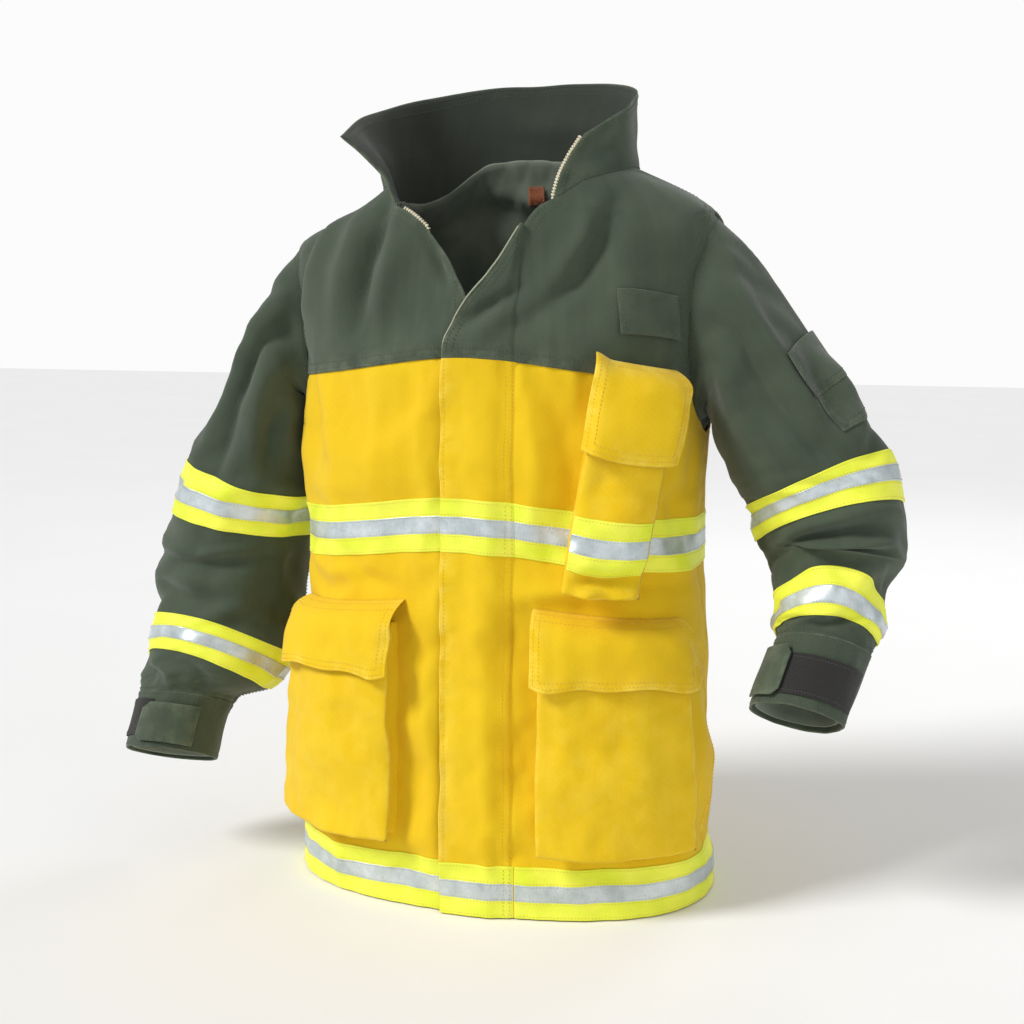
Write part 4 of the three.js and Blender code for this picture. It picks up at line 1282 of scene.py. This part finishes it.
TRIM_LOW = {"waist": 390, "hem": 1}
TRIM_WIDE = 56
RIBBON = 1.0
TAPE = (0.34, 0.665)    # where the silver tape lies across the lime ribbon
TAPE_RISE = 0.25
SLEEVE_TAPE_RISE = 0.8


def ribbon(piece, surface, columns, across, uv, lift, rise=TAPE_RISE, wrap=False):
    """A lime ribbon with a silver tape along its middle. surface takes (column, share across, distance)."""
    v = rows_between(0, across, 3, (0.8, 1.8)) / across
    piece.sheet(surface, *grid(columns, v), lift + RIBBON, lift, uv, LIME, wrap=wrap)
    v = mix(*TAPE, rows_between(0, across / 3, 3, (0.6, 1.5)) / (across / 3))
    piece.sheet(surface, *grid(columns, v), lift + RIBBON + rise, lift + RIBBON - 0.4, uv, SILVER, wrap=wrap)
    end = columns[-1] if not wrap else columns[-1] + (columns[1] - columns[0])
    line = np.linspace(columns[0], end, 4 * len(columns))
    for shares, top, thread in (((0.045, 0.955, 0.30, 0.705), RIBBON, LIME_THREAD),
                                ((0.365, 0.64), RIBBON + rise, PALE_THREAD)):
        for share in shares:
            piece.sew(surface, line, share, lift + top, thread, pitch=3.6, length=2.5, width=0.7)


def body_trims():
    start = {"right": 9.4, "left": 21.7}
    for name, low in TRIM_LOW.items():
        def uv(U, V, low=low):
            return cloth_uv(U, low + V * TRIM_WIDE)

        def surface(U, V, distance, low=low):
            return torso(U, low + V * TRIM_WIDE, distance)

        for suffix, side in SIDES.items():
            piece = Piece(name + "_trim_ribbon_" + suffix)
            columns = side * rows_between(start[suffix], 90.2, 1.4, (0.3, 0.8))
            ribbon(piece, surface, columns, TRIM_WIDE, uv, SHELL + 0.35)
            piece.make(name + "_trim_" + suffix, "coat")
        piece = Piece(name + "_trim_ribbon_back")
        ribbon(piece, surface, rows_between(89.9, 270.1, 1.4, (0.3, 0.8)), TRIM_WIDE, uv, SHELL + 0.45)
        piece.make(name + "_trim_back", "coat")
    for name, low in TRIM_LOW.items():
        def flap_surface(U, V, distance, low=low):
            h = low + V * TRIM_WIDE
            share = (U - FLAP_X[0]) / (FLAP_X[1] - FLAP_X[0])
            wave = flap_wave(share, h) * (share < 0.95)
            return flap_point(U, h, flap_lift(share) + FLAP_THICK + wave + distance)

        def flap_trim_uv(U, V, low=low):
            return flap_uv(U, low + V * TRIM_WIDE)

        piece = Piece("storm_flap_" + name + "_ribbon")
        columns = rows_between(FLAP_X[0] + 0.2, FLAP_X[1] - 0.3, 4, (0.8, 2.0))
        ribbon(piece, flap_surface, columns, TRIM_WIDE, flap_trim_uv, 0.15)
        for x in (47.0, 54.0):
            lift = flap_lift((x - FLAP_X[0]) / (FLAP_X[1] - FLAP_X[0])) + FLAP_THICK + RIBBON + 0.7
            flap_stitches(piece, x, np.linspace(low + 2, low + TRIM_WIDE - 2, 20), lift, GOLD_THREAD)
        piece.make("storm_flap_" + name + "_trim", "storm_flap")


# ---- Pockets -----------------------------------------------------------------------------------------

DEG_PER_MM = 0.28       # round the front, for laying out pockets
# A bellows wall in profile: how far in from the pocket's edge, and how far out from the coat.
BELLOWS = np.array([
    [-6, 0.02], [-1, 0.05], [3.5, 0.16], [8, 0.34], [9.5, 0.5], [7.5, 0.66], [2, 0.84], [-1.5, 0.95],
    [0.5, 1.0], [4, 1.03]])
SEAM_GAP = 2.6


def pouch(name, surface, width, height, depth, crown, uv, folds, sag):
    """A bellows pocket, open at the top. surface(x, y, distance) takes millimetres from its bottom corner."""
    k = len(BELLOWS)
    side_x = np.concatenate([BELLOWS[:, 0], rows_between(9, width - 9, STEP, ()), width - BELLOWS[::-1, 0]])
    side_d = np.concatenate([BELLOWS[:, 1], np.full(len(side_x) - 2 * k, 1.03), BELLOWS[::-1, 1]])
    foot_y = np.concatenate([BELLOWS[:, 0], rows_between(9, height, STEP, ())])
    foot_d = np.concatenate([BELLOWS[:, 1], np.full(len(foot_y) - k, 1.03)])
    X, Y = grid(side_x, foot_y)
    D = np.minimum(*grid(side_d, foot_d))
    # The walls meet in a mitre at the two bottom corners.
    for i in range(k):
        for j in range(k):
            if i > j:
                X[i, j] = mix(side_x[j], side_x[k], (i - j) / (k - j))
                X[-1 - i, j] = width - X[i, j]
            elif j > i:
                Y[i, j] = Y[-1 - i, j] = mix(foot_y[i], foot_y[k], (j - i) / (k - i))
    arch = np.sin(np.pi * np.clip(X / width, 0, 1))
    swell = crown * arch ** 0.8 * np.sin(np.pi * np.clip(Y / height * 0.62 + 0.12, 0, 1))
    face = smooth(D, 0.9, 1.03)
    mouth = 1 - 0.35 * smooth(Y, height * 0.8, height)
    out = depth * D * mouth + swell * face + folds(X, Y) * smooth(D, 0.3, 1.0)
    X = X + 1.5 * np.sin(Y / 37.0) * np.sign(X - width / 2) * (D > 0.3)
    arch = np.sin(np.pi * np.clip(X / width, 0, 1))
    Y = Y - sag * face * arch * (1 - smooth(Y, 0, height * 0.5))
    wall = 1.9
    piece = Piece(name)
    outer = surface(X, Y, out)
    inward = np.where(D > 0.9, wall, wall * 0.6)
    shrink = wall * (1 - smooth(D, 0.85, 1.0))
    inner = surface(X + np.sign(width / 2 - X) * shrink, Y + shrink * (Y < height * 0.4), out - inward)
    rubbed = np.exp(-np.abs(D - 0.97) / 0.04) * 0.9
    piece.shell(outer, inner, uv(X, Y), GOLD, wear=rubbed)
    y = np.linspace(0, height - 4, 60)
    for line in ((-SEAM_GAP, y), (width + SEAM_GAP, y), (np.linspace(0, width, 60), -SEAM_GAP)):
        piece.sew(surface, *line, depth * 0.06, GOLD_THREAD)
    return piece, (side_x[k - 2:2 - k], foot_y[k - 2:], outer[k - 2:2 - k, k - 2:])


def cover(columns, rows, points, x, y, distance):
    """Points at (x, y) in a grid's own columns and rows, and a distance out from the grid."""
    x, y = np.broadcast_arrays(np.asarray(x, float), np.asarray(y, float))

    def read(x, y):
        i = np.clip(np.searchsorted(columns, x) - 1, 0, len(columns) - 2)
        j = np.clip(np.searchsorted(rows, y) - 1, 0, len(rows) - 2)
        s = ((x - columns[i]) / (columns[i + 1] - columns[i]))[..., None]
        t = ((y - rows[j]) / (rows[j + 1] - rows[j]))[..., None]
        return mix(mix(points[i, j], points[i + 1, j], s), mix(points[i, j + 1], points[i + 1, j + 1], s), t)

    out = np.cross(read(x + 3, y) - read(x - 3, y), read(x, y + 3) - read(x, y - 3))
    return read(x, y) + unit(out) * np.asarray(distance)[..., None]


def flap_rows(flap, surface, lift, size, gaps, top_rows, side_start, count):
    """The stitched rows of a pocket flap: some along its foot and sides, gaps mm in, and some across its top.
    count holds how many points are read along a row across and a row down."""
    wide, high = size
    for gap in gaps:
        across = np.linspace(gap / wide, 1 - gap / wide, count[0])
        flap.sew(surface, across, 1 - gap / high, lift, GOLD_THREAD)
        down = np.linspace(side_start, 1 - gap / high, count[1])
        flap.sew(surface, gap / wide, down, lift, GOLD_THREAD)
        flap.sew(surface, 1 - gap / wide, down, lift, GOLD_THREAD)
    for end, v in top_rows:
        flap.sew(surface, np.linspace(end, 1 - end, count[0]), v, lift, GOLD_THREAD)


def hand_pocket(suffix):
    side = SIDES[suffix]
    low, high = 78, 314
    start = {"left": 30.5, "right": 28.0}[suffix]
    width = {"left": 41.5, "right": 44.0}[suffix] / DEG_PER_MM
    flare = {"left": 0.0, "right": 0.05}[suffix]

    def surface(x, y, distance):
        wider = 1 + flare * (1 - smooth(y, 0, 200))
        return torso(side * (start + x * DEG_PER_MM * wider), low + y, distance)

    creases = Undulation(60, 150, 8)
    ripples = [
        ([(20, 210), (60, 180), (110, 190)], 14, -3), ([(30, 60), (70, 90), (120, 80)], 22, 3),
        ([(width - 25, 30), (width - 30, 120), (width - 22, 200)], 9, -3),
        ([(18, 20), (26, 110), (20, 190)], 10, 2.5),
        ([(60, 8), (75, 40), (70, 80)], 12, -2.5), ([(110, 12), (105, 50), (118, 90)], 12, 2.5)]
    piece, _ = pouch("hand_pouch_" + suffix, surface, width, high - low, 27.0, 4.5,
                     lambda X, Y: cloth_uv(side * (start + X * DEG_PER_MM), low + Y),
                     lambda X, Y: 1.8 * creases(X, Y) + fold_field(ripples, X, Y), 4.0)
    piece.make("hand_pocket_" + suffix, "coat")

    flap = Piece("hand_flap_" + suffix)
    flap_wide, flap_high = 170, 88
    u = rows_between(0, 1, 1 / 34, (0.006, 0.014, 0.03))
    v = rows_between(0, flap_high, 4, (0.9, 2.2, 4.2)) / flap_high

    def flap_surface(U, V, distance):
        X = mix(-7, width + 6, U)
        hang = 74 * V + 3.5 * np.sin(2.2 * np.pi * U + 0.6) * V ** 2 + 2.0 * np.sin(5 * np.pi * U) * V ** 3
        H = 338 - hang
        corner = 1 - 0.16 * (smooth(np.abs(U - 0.5), 0.40, 0.5)) * smooth(V, 0.15, 0.5)
        drop = 1 - np.exp(-hang / 11.0)
        d = 3.0 + (31.5 + 5 * np.sin(np.pi * U)) * drop * corner
        d = d + (2.4 * np.sin(3.1 * np.pi * U + 0.8) + 1.6 * np.sin(7.3 * U + 2)) * V ** 1.5
        lifted = {"right": 6.0, "left": 3.5}[suffix] * smooth(U, 0.21, 0.0) * V ** 2
        return torso(side * (start + X * DEG_PER_MM), H, d + lifted + distance)

    flap.sheet(flap_surface, *grid(u, v), 2.2, 0.0,
               lambda U, V: np.stack([mix(-7, width + 6, U), -flap_high * V], -1) * MM, GOLD,
               wear=edge_wear(u * flap_wide, v * flap_high, sides=(1, 1, 0, 1)))
    flap_rows(flap, flap_surface, 2.2, (flap_wide, flap_high), (4.0, 10.5), ((0.02, 0.035), (0.02, 0.105)),
              0.06, (80, 40))
    flap.make("hand_pocket_flap_" + suffix, "hand_pocket_flap_" + suffix)


def radio_pocket():
    low, high = 366, 586
    width = 69.0
    start, lean = 38.508, 0.046     # degrees at the foot, and degrees per mm up

    def surface(x, y, distance):
        return torso(start + y * lean + x * DEG_PER_MM, low + y, distance)

    crumple = Undulation(18, 50, 9)
    ripples = [
        ([(4, 26), (30, 16), (56, 24), (80, 14)], 7, -6), ([(2, 40), (34, 34), (60, 42)], 7, 4.5),
        ([(20, 4), (40, 10), (66, 2)], 6, 4), ([(14, 90), (20, 130), (12, 170)], 9, -3),
        ([(54, 80), (50, 130), (56, 180)], 9, 3), ([(34, 62), (40, 100), (34, 150)], 12, 2)]

    def folds(X, Y):
        return crumple(X, Y) * (0.6 + 4.0 * (1 - smooth(Y, 16, 42))) + 1.3 * fold_field(ripples, X, Y)

    def uv(X, Y):
        return np.stack([X, Y], -1) * MM

    piece, front = pouch("radio_pouch", surface, width, high - low, 34.0, 5.0, uv, folds, 5.0)
    piece.make("radio_pocket", "coat")

    def on_face(U, V, distance):
        return cover(*front, U, TRIM_LOW["waist"] - low + TRIM_WIDE * V, distance)

    trim = Piece("radio_pocket_ribbon")
    ribbon(trim, on_face, rows_between(1.0, width - 1.0, 3.5, (0.8, 2.0)), TRIM_WIDE,
           lambda U, V: uv(U, TRIM_WIDE * V), 0.3)
    trim.make("radio_pocket_trim", "coat")

    flap = Piece("radio_flap_cloth")
    flap_wide, flap_high = 90, 94
    u = rows_between(0, 1, 1 / 22, (0.01, 0.025, 0.05))
    v = rows_between(0, 1, 1 / 26, (0.01, 0.025, 0.05))

    def flap_surface(U, V, distance):
        X = mix(-6, width + 8, U)
        y = (606 - low) + 6 * (0.5 - U) - flap_high * V - 5 * np.sin(np.pi * U) * V ** 2
        drop = 1 - np.exp(-flap_high * V / 10.0)
        ends = 1 - 0.22 * smooth(np.abs(U - 0.5), 0.36, 0.5) * smooth(V, 0.1, 0.4)
        d = 5.5 + (38 + 4 * np.sin(np.pi * U)) * drop * ends
        d = d + 2.2 * np.sin(2.6 * np.pi * U + 0.7) * V ** 1.4 + 2.0 * np.sin(np.pi * U) * np.sin(9 * V)
        tip = 9.0 * smooth(U, 0.22, 0.0) * smooth(V, 0.30, 0.0)
        return surface(X, y + tip * 0.6, d + tip * 0.8 + distance)

    flap.sheet(flap_surface, *grid(u, v), 2.4, 0.0, lambda U, V: uv(flap_wide * U, -flap_high * V), GOLD,
               wear=edge_wear(u * flap_wide, v * flap_high))
    flap_rows(flap, flap_surface, 2.4, (flap_wide, flap_high), (4.0, 10.0), ((0.03, 0.05),), 0.07, (50, 50))
    flap.make("radio_pocket_flap", "radio_pocket_flap")


def frame_lines(u, v, count):
    """Four straight lines round a rectangle: bottom, top and the two sides."""
    for a, b in ((u, v[:1] * 2), (u, v[1:] * 2), (u[:1] * 2, v), (u[1:] * 2, v)):
        yield np.linspace(*a, count), np.linspace(*b, count)


def mic_tab():
    wide, high = 64, 48
    u = rows_between(0, 1, 1 / 14, (0.012, 0.03, 0.06))
    v = rows_between(0, 1, 1 / 10, (0.015, 0.04, 0.08))

    def surface(U, V, distance):
        h = mix(636, 682, V) + 2 * np.sin(np.pi * U)
        # The lower edge stands a little away from the yoke.
        lift = 3.1 + 0.5 * V + 0.8 * np.sin(np.pi * V) + 4.2 * (1 - V) ** 2
        return torso(mix(55, 71, U), h, lift + distance)

    piece = Piece("mic_tab_cloth")
    piece.sheet(surface, *grid(u, v), 1.9, 0.0, lambda U, V: np.stack([wide * U, high * V], -1) * MM, GREEN,
                wear=0.3 * edge_wear(u * wide, v * high))
    for line in frame_lines((0.06, 0.94), (0.1, 0.9), 30):
        piece.sew(surface, *line, 1.9, GREEN_THREAD)
    piece.make("mic_tab", "mic_tab")


def hang_loop():
    u = rows_between(-1, 1, 0.06, (0.01, 0.03))
    v = rows_between(0, 1, 0.25, (0.06, 0.14))

    def surface(U, V, distance):
        rise = 4.2 + 6.5 * np.clip(1 - U ** 2, 0, 1) ** 1.3
        return torso(180 + 16 * U, mix(786, 800, V) - 5 * (1 - U ** 2), rise + distance)

    piece = Piece("hang_loop_webbing")
    piece.sheet(surface, *grid(u, v), 1.8, 0.0, lambda U, V: cloth_uv(16 * U, 14 * V), GREEN)
    for end in (-0.97, -0.86, 0.86, 0.97):
        piece.sew(surface, end, np.linspace(0.1, 0.9, 14), 1.8, PALE_THREAD, pitch=2.6, length=2.0)
    piece.make("hang_loop", "coat")


def neck_label():
    """A blank patch on the liner at the back of the neck."""
    piece = Piece("neck_label_cloth")
    A, H = grid(rows_between(171.5, 182, 1.2, (0.2, 0.5)), rows_between(788, 811, 3, (0.5, 1.2)))
    piece.sheet(torso, A, H, -9.8, -10.5, cloth_uv, RUST)
    for line in frame_lines((172.2, 181.3), (790, 809), 30):
        piece.sew(torso, *line, -10.5, PALE_THREAD, up=-1.0, pitch=2.4, length=1.8)
    piece.make("neck_label", "coat")


# ---- Sleeves -----------------------------------------------------------------------------------------

def sleeve_uv(station, deg):
    return np.stack(np.broadcast_arrays(SLEEVE_GIRTH * deg, -STATION_MM * station), -1) * MM


AROUND = np.arange(0, 360, 4.0)


def sleeve_sheet(piece, suffix, station, deg, top, bottom, material, **more):
    piece.sheet(lambda *place: sleeve(suffix, *place), station, deg, top, bottom, sleeve_uv, material, **more)


def sleeve_tube(piece, suffix, stations, material, wall=2.2, lift=0.0):
    A, S = grid(AROUND, stations)
    sleeve_sheet(piece, suffix, S, A, lift, lift - wall, material, wrap=True)


def sleeve_middle(suffix, station):
    ring = sleeve(suffix, station, np.arange(0, 360, 30.0))
    return (ring.mean(0) + HEM_MIDDLE) * MM


def sleeve_seam(piece, suffix, start, stop, count):
    """The double-stitched seam along the inner side."""
    for deg in (198.0, 204.0):
        sleeve_stitches(piece, suffix, np.linspace(start, stop, count), deg, 0.0, GREEN_THREAD)


def sleeve_side(suffix):
    """A whole sleeve, in an upper and a lower part."""
    upper_body, lower_body = "sleeve_upper_" + suffix, "sleeve_lower_" + suffix
    line = np.linspace(0, 360, 200)
    upper = Piece("sleeve_top_" + suffix)
    stations = np.concatenate([[0, 0.02, 0.05, 0.09], np.arange(0.15, 3.82, 0.085)])
    sleeve_tube(upper, suffix, stations, GREEN)
    sleeve_stitches(upper, suffix, 0.12, line, 0.0, GREEN_THREAD)
    sleeve_seam(upper, suffix, 0.3, 3.1, 160)
    upper.make("sleeve_upper_" + suffix, blend=("coat", upper_body, *shoulder_ends(suffix)))
    if suffix == "left":
        sleeve_pocket()
    sleeve_ribbon(suffix, "upper", UPPER_TRIM[suffix])

    lower = Piece("sleeve_fore_" + suffix)
    stations = np.concatenate([np.arange(3.66, 7.9, 0.07), [7.92, 7.96, 7.985]])
    sleeve_tube(lower, suffix, stations, GREEN, lift=-0.5)
    sleeve_seam(lower, suffix, 4.4, 7.9, 180)
    sleeve_stitches(lower, suffix, 7.9, line, 0.0, GREEN_THREAD)
    elbow_ends = sleeve_middle(suffix, 4.7), sleeve_middle(suffix, 5.8)
    lower.make("sleeve_lower_" + suffix, blend=(upper_body, lower_body, *map(tuple, elbow_ends)))
    sleeve_ribbon(suffix, "lower", LOWER_TRIM[suffix])

    quilt = Piece("sleeve_quilt_" + suffix)
    sleeve_tube(quilt, suffix, np.arange(5.9, 8.93, 0.12), LINING, 2.4, -4.4)
    quilt.make("sleeve_liner_" + suffix, lower_body)
    cuff(suffix)


def shoulder_ends(suffix):
    """The armpit end of the armhole's seam, and a point 68 mm further out along the sleeve."""
    start = np.array([238.0 * SIDES[suffix], 2.0, 535.0])
    slope = unit(np.array([SIDES[suffix] * 1.0, 0.0, -0.35]))
    return tuple((start + HEM_MIDDLE) * MM), tuple((start + slope * 68 + HEM_MIDDLE) * MM)


def sleeve_ribbon(suffix, level, trim):
    """A trim round the upper or the lower sleeve."""
    start, stop, lean, rise = trim
    length = np.linalg.norm(sleeve_middle(suffix, stop) - sleeve_middle(suffix, start)) / MM

    def station(U, V):
        return mix(start, stop, V) + trim_slope(U, lean, rise)

    def surface(U, V, distance):
        return sleeve(suffix, station(U, V), U, distance)

    piece = Piece("sleeve_" + level + "_ribbon_" + suffix)
    ribbon(piece, surface, AROUND, length, lambda U, V: sleeve_uv(station(U, V), U), 0.5,
           rise=SLEEVE_TAPE_RISE, wrap=True)
    piece.make("sleeve_" + level + "_trim_" + suffix, "sleeve_" + level + "_" + suffix)


def cuff_strip(suffix, names, body, span, stations, lift, wall, material, point=0.0):
    """A strip round part of a cuff. point is how much it narrows towards its free end."""
    name, node = names
    width = span[1] - span[0]
    u, v = rows_between(*span, 3, (0.5, 1.2, 2.4)), rows_between(0, 1, 1 / 9, (0.02, 0.05, 0.1))
    A, V = grid(u, v)
    reach = (A - span[0]) / width
    V = 0.5 + (V - 0.5) * (1 - point * smooth(reach, 0.14, 0.0))
    free_end = 6 * point * smooth(reach, 0.6, 0.0) if suffix == "left" else 0
    low = lift + np.sin(reach * np.pi) + free_end
    piece = Piece(name + suffix)
    sleeve_sheet(piece, suffix, mix(*stations, V), A, low + wall, low, material,
                 wear=edge_wear(u - span[0], v * 30))

    def row(share, deg):
        top = lift + np.sin((deg - span[0]) / width * np.pi) + wall
        sleeve_stitches(piece, suffix, mix(*stations, share), deg, top, GREEN_THREAD, pitch=3.2, length=2.2)

    for share in (0.09, 0.91):
        row(share, np.linspace(span[0] + 4, span[1] - 3, 60))
    for deg in (span[0] + 4, span[1] - 3):
        row(np.linspace(0.09, 0.91, 20), deg)
    piece.make(node + suffix, body + suffix)


def cuff(suffix):
    piece = Piece("cuff_cloth_" + suffix)
    stations = np.concatenate([[8.0, 8.015, 8.04], np.arange(8.08, 8.93, 0.07), [8.95, 8.975, 9.0]])
    sleeve_tube(piece, suffix, stations, GREEN, 2.6, 0.9)
    for station in (8.05, 8.14, 8.90):
        sleeve_stitches(piece, suffix, station, np.linspace(0, 360, 160), 0.9, GREEN_THREAD)
    piece.make("cuff_" + suffix, "sleeve_lower_" + suffix)

    loop_span, tab_span = {"left": ((12, 126), (114, 161)), "right": ((-22, 78), (68, 140))}[suffix]
    loop_stations = {"left": (8.3, 8.8), "right": (8.16, 8.74)}[suffix]
    cuff_strip(suffix, ("cuff_loop_tape_", "cuff_loop_strip_"), "sleeve_lower_", loop_span, loop_stations,
               1.1, 1.3, PILE)
    cuff_strip(suffix, ("cuff_strap_", "cuff_tab_"), "cuff_tab_", tab_span, (8.22, 8.86),
               3.3, 2.4, GREEN, point=0.3)


NO_EDGE = 9     # as far from an edge as can be, in shares of a patch


def sleeve_patch(name, node, body, span, stations, lifts, wall, flush_top):
    """A flat patch on the wearer's left upper sleeve, raised inside its edges. Its span is in degrees.
    With a flush top, it lies down along its top edge too."""
    u = rows_between(*span, 4, (0.6, 1.5, 3.0))
    v = rows_between(0, 1, 1 / 12, (0.015, 0.04, 0.08))
    A, V = grid(u, v)

    def lift(deg, from_top, from_foot):
        edge = np.minimum(np.minimum(deg - span[0], span[1] - deg) / 8, np.minimum(from_top, from_foot) * 6)
        return mix(*lifts, smooth(edge, 0, 1))

    low = lift(A, V if flush_top else NO_EDGE, 1 - V)
    piece = Piece(name)
    sleeve_sheet(piece, "left", mix(*stations, V), A, low + wall, low, GREEN,
                 wear=edge_wear((u - span[0]) * 1.3, v * 60))
    for gap in (3.0, 8.0):
        left, right, foot = span[0] + gap, span[1] - gap, 1 - gap / 60
        down = 0.04, 0.95
        for a, b in (((left, right), (foot, foot)), ((left, left), down), ((right, right), down)):
            deg, share = np.linspace(*a, 50), np.linspace(*b, 50)
            top = lift(deg, NO_EDGE, 1 - share) + wall
            sleeve_stitches(piece, "left", mix(*stations, share), deg, top, GREEN_THREAD)
    piece.make(node, body)


def sleeve_pocket():
    """The flat pocket on the wearer's left upper sleeve, and its flap."""
    sleeve_patch("sleeve_pouch_left", "sleeve_pocket_left", "sleeve_upper_left", (-30, 50), (2.1, 2.95),
                 (0.3, 1.4), 1.5, True)
    sleeve_patch("sleeve_pouch_flap_left", "sleeve_pocket_flap_left", "sleeve_pocket_flap_left", (-33, 53),
                 (1.8, 2.42), (2.2, 3.2), 1.6, False)


# ---- The coat ----------------------------------------------------------------------------------------

settle_body()
for suffix in SIDES:
    settle_sleeve(suffix)
for suffix in SIDES:
    front_panel(suffix)
    yoke_front(suffix)
    zip_half(suffix)
    hand_pocket(suffix)
back_panel()
yoke_back()
liner()
collar()
zip_slider()
storm_flap()
body_trims()
radio_pocket()
mic_tab()
hang_loop()
neck_label()
for suffix in SIDES:
    sleeve_side(suffix)

# ---- Floor, light and camera -------------------------------------------------------------------------


def studio():
    n = Nodes("floor")
    tone = n.object_noise(3.0, 3.0)
    paper = n.finish(Base_Color=n.blend(tone, (0.86, 0.86, 0.86, 1), (0.9, 0.9, 0.9, 1)), Roughness=0.9)
    mesh = bpy.data.meshes.new("floor")
    mesh.from_pydata([(-9, -9, -0.001), (9, -9, -0.001), (9, 9, -0.001), (-9, 9, -0.001)], [], [(0, 1, 2, 3)])
    mesh.materials.append(paper)
    floor = bpy.data.objects.new("floor", mesh)
    bpy.context.scene.collection.objects.link(floor)

    world = bpy.data.worlds.new("studio")
    world.use_nodes = True
    tree = world.node_tree
    seen = tree.nodes.new("ShaderNodeLightPath").outputs["Is Camera Ray"]
    strength = tree.nodes.new("ShaderNodeMapRange")
    strength.inputs["To Min"].default_value, strength.inputs["To Max"].default_value = 0.5, 0.97
    tree.links.new(seen, strength.inputs["Value"])
    background = tree.nodes["Background"]
    background.inputs[0].default_value = (1, 1, 1, 1)
    tree.links.new(strength.outputs["Result"], background.inputs[1])
    bpy.context.scene.world = world

    def lamp(name, place, power, size=None):
        light = bpy.data.lights.new(name, "AREA" if size else "SUN")
        light.energy = power
        if size:
            light.shape, light.size = "DISK", size
        else:
            light.angle = np.radians(18)
        obj = bpy.data.objects.new(name, light)
        obj.location = place
        bpy.context.scene.collection.objects.link(obj)
        aim = obj.constraints.new("TRACK_TO")
        aim.track_axis, aim.up_axis = "TRACK_NEGATIVE_Z", "UP_Y"
        aim.target = target

    target = bpy.data.objects.new("aim", None)
    target.location = (0, 0, 0.45)
    bpy.context.scene.collection.objects.link(target)
    lamp("key", (-1.9, -1.7, 2.6), 2.3)
    lamp("fill", (2.4, -1.6, 1.4), 8, 1.6)
    lamp("back", (0.6, 2.4, 2.2), 12, 1.4)


def camera():
    """Azimuth 18, elevation 7, 1.8 m from the middle of the coat, as if seen by a standing photographer."""
    azimuth, elevation, distance = np.radians(18), np.radians(7), 1.8
    middle = HEM_MIDDLE * MM + np.array([0, 0, 0.45])
    level = np.cos(elevation)
    towards = np.array([np.sin(azimuth) * level, -np.cos(azimuth) * level, np.sin(elevation)])
    data = bpy.data.cameras.new("camera")
    data.lens, data.shift_x, data.shift_y = 56.27, 0.0059, -0.033
    obj = bpy.data.objects.new("camera", data)
    obj.location = middle + towards * distance
    obj.rotation_euler = (np.pi / 2 - elevation, 0, azimuth)
    bpy.context.scene.collection.objects.link(obj)
    bpy.context.scene.camera = obj


studio()
camera()
bpy.context.scene.view_settings.view_transform = "Standard"
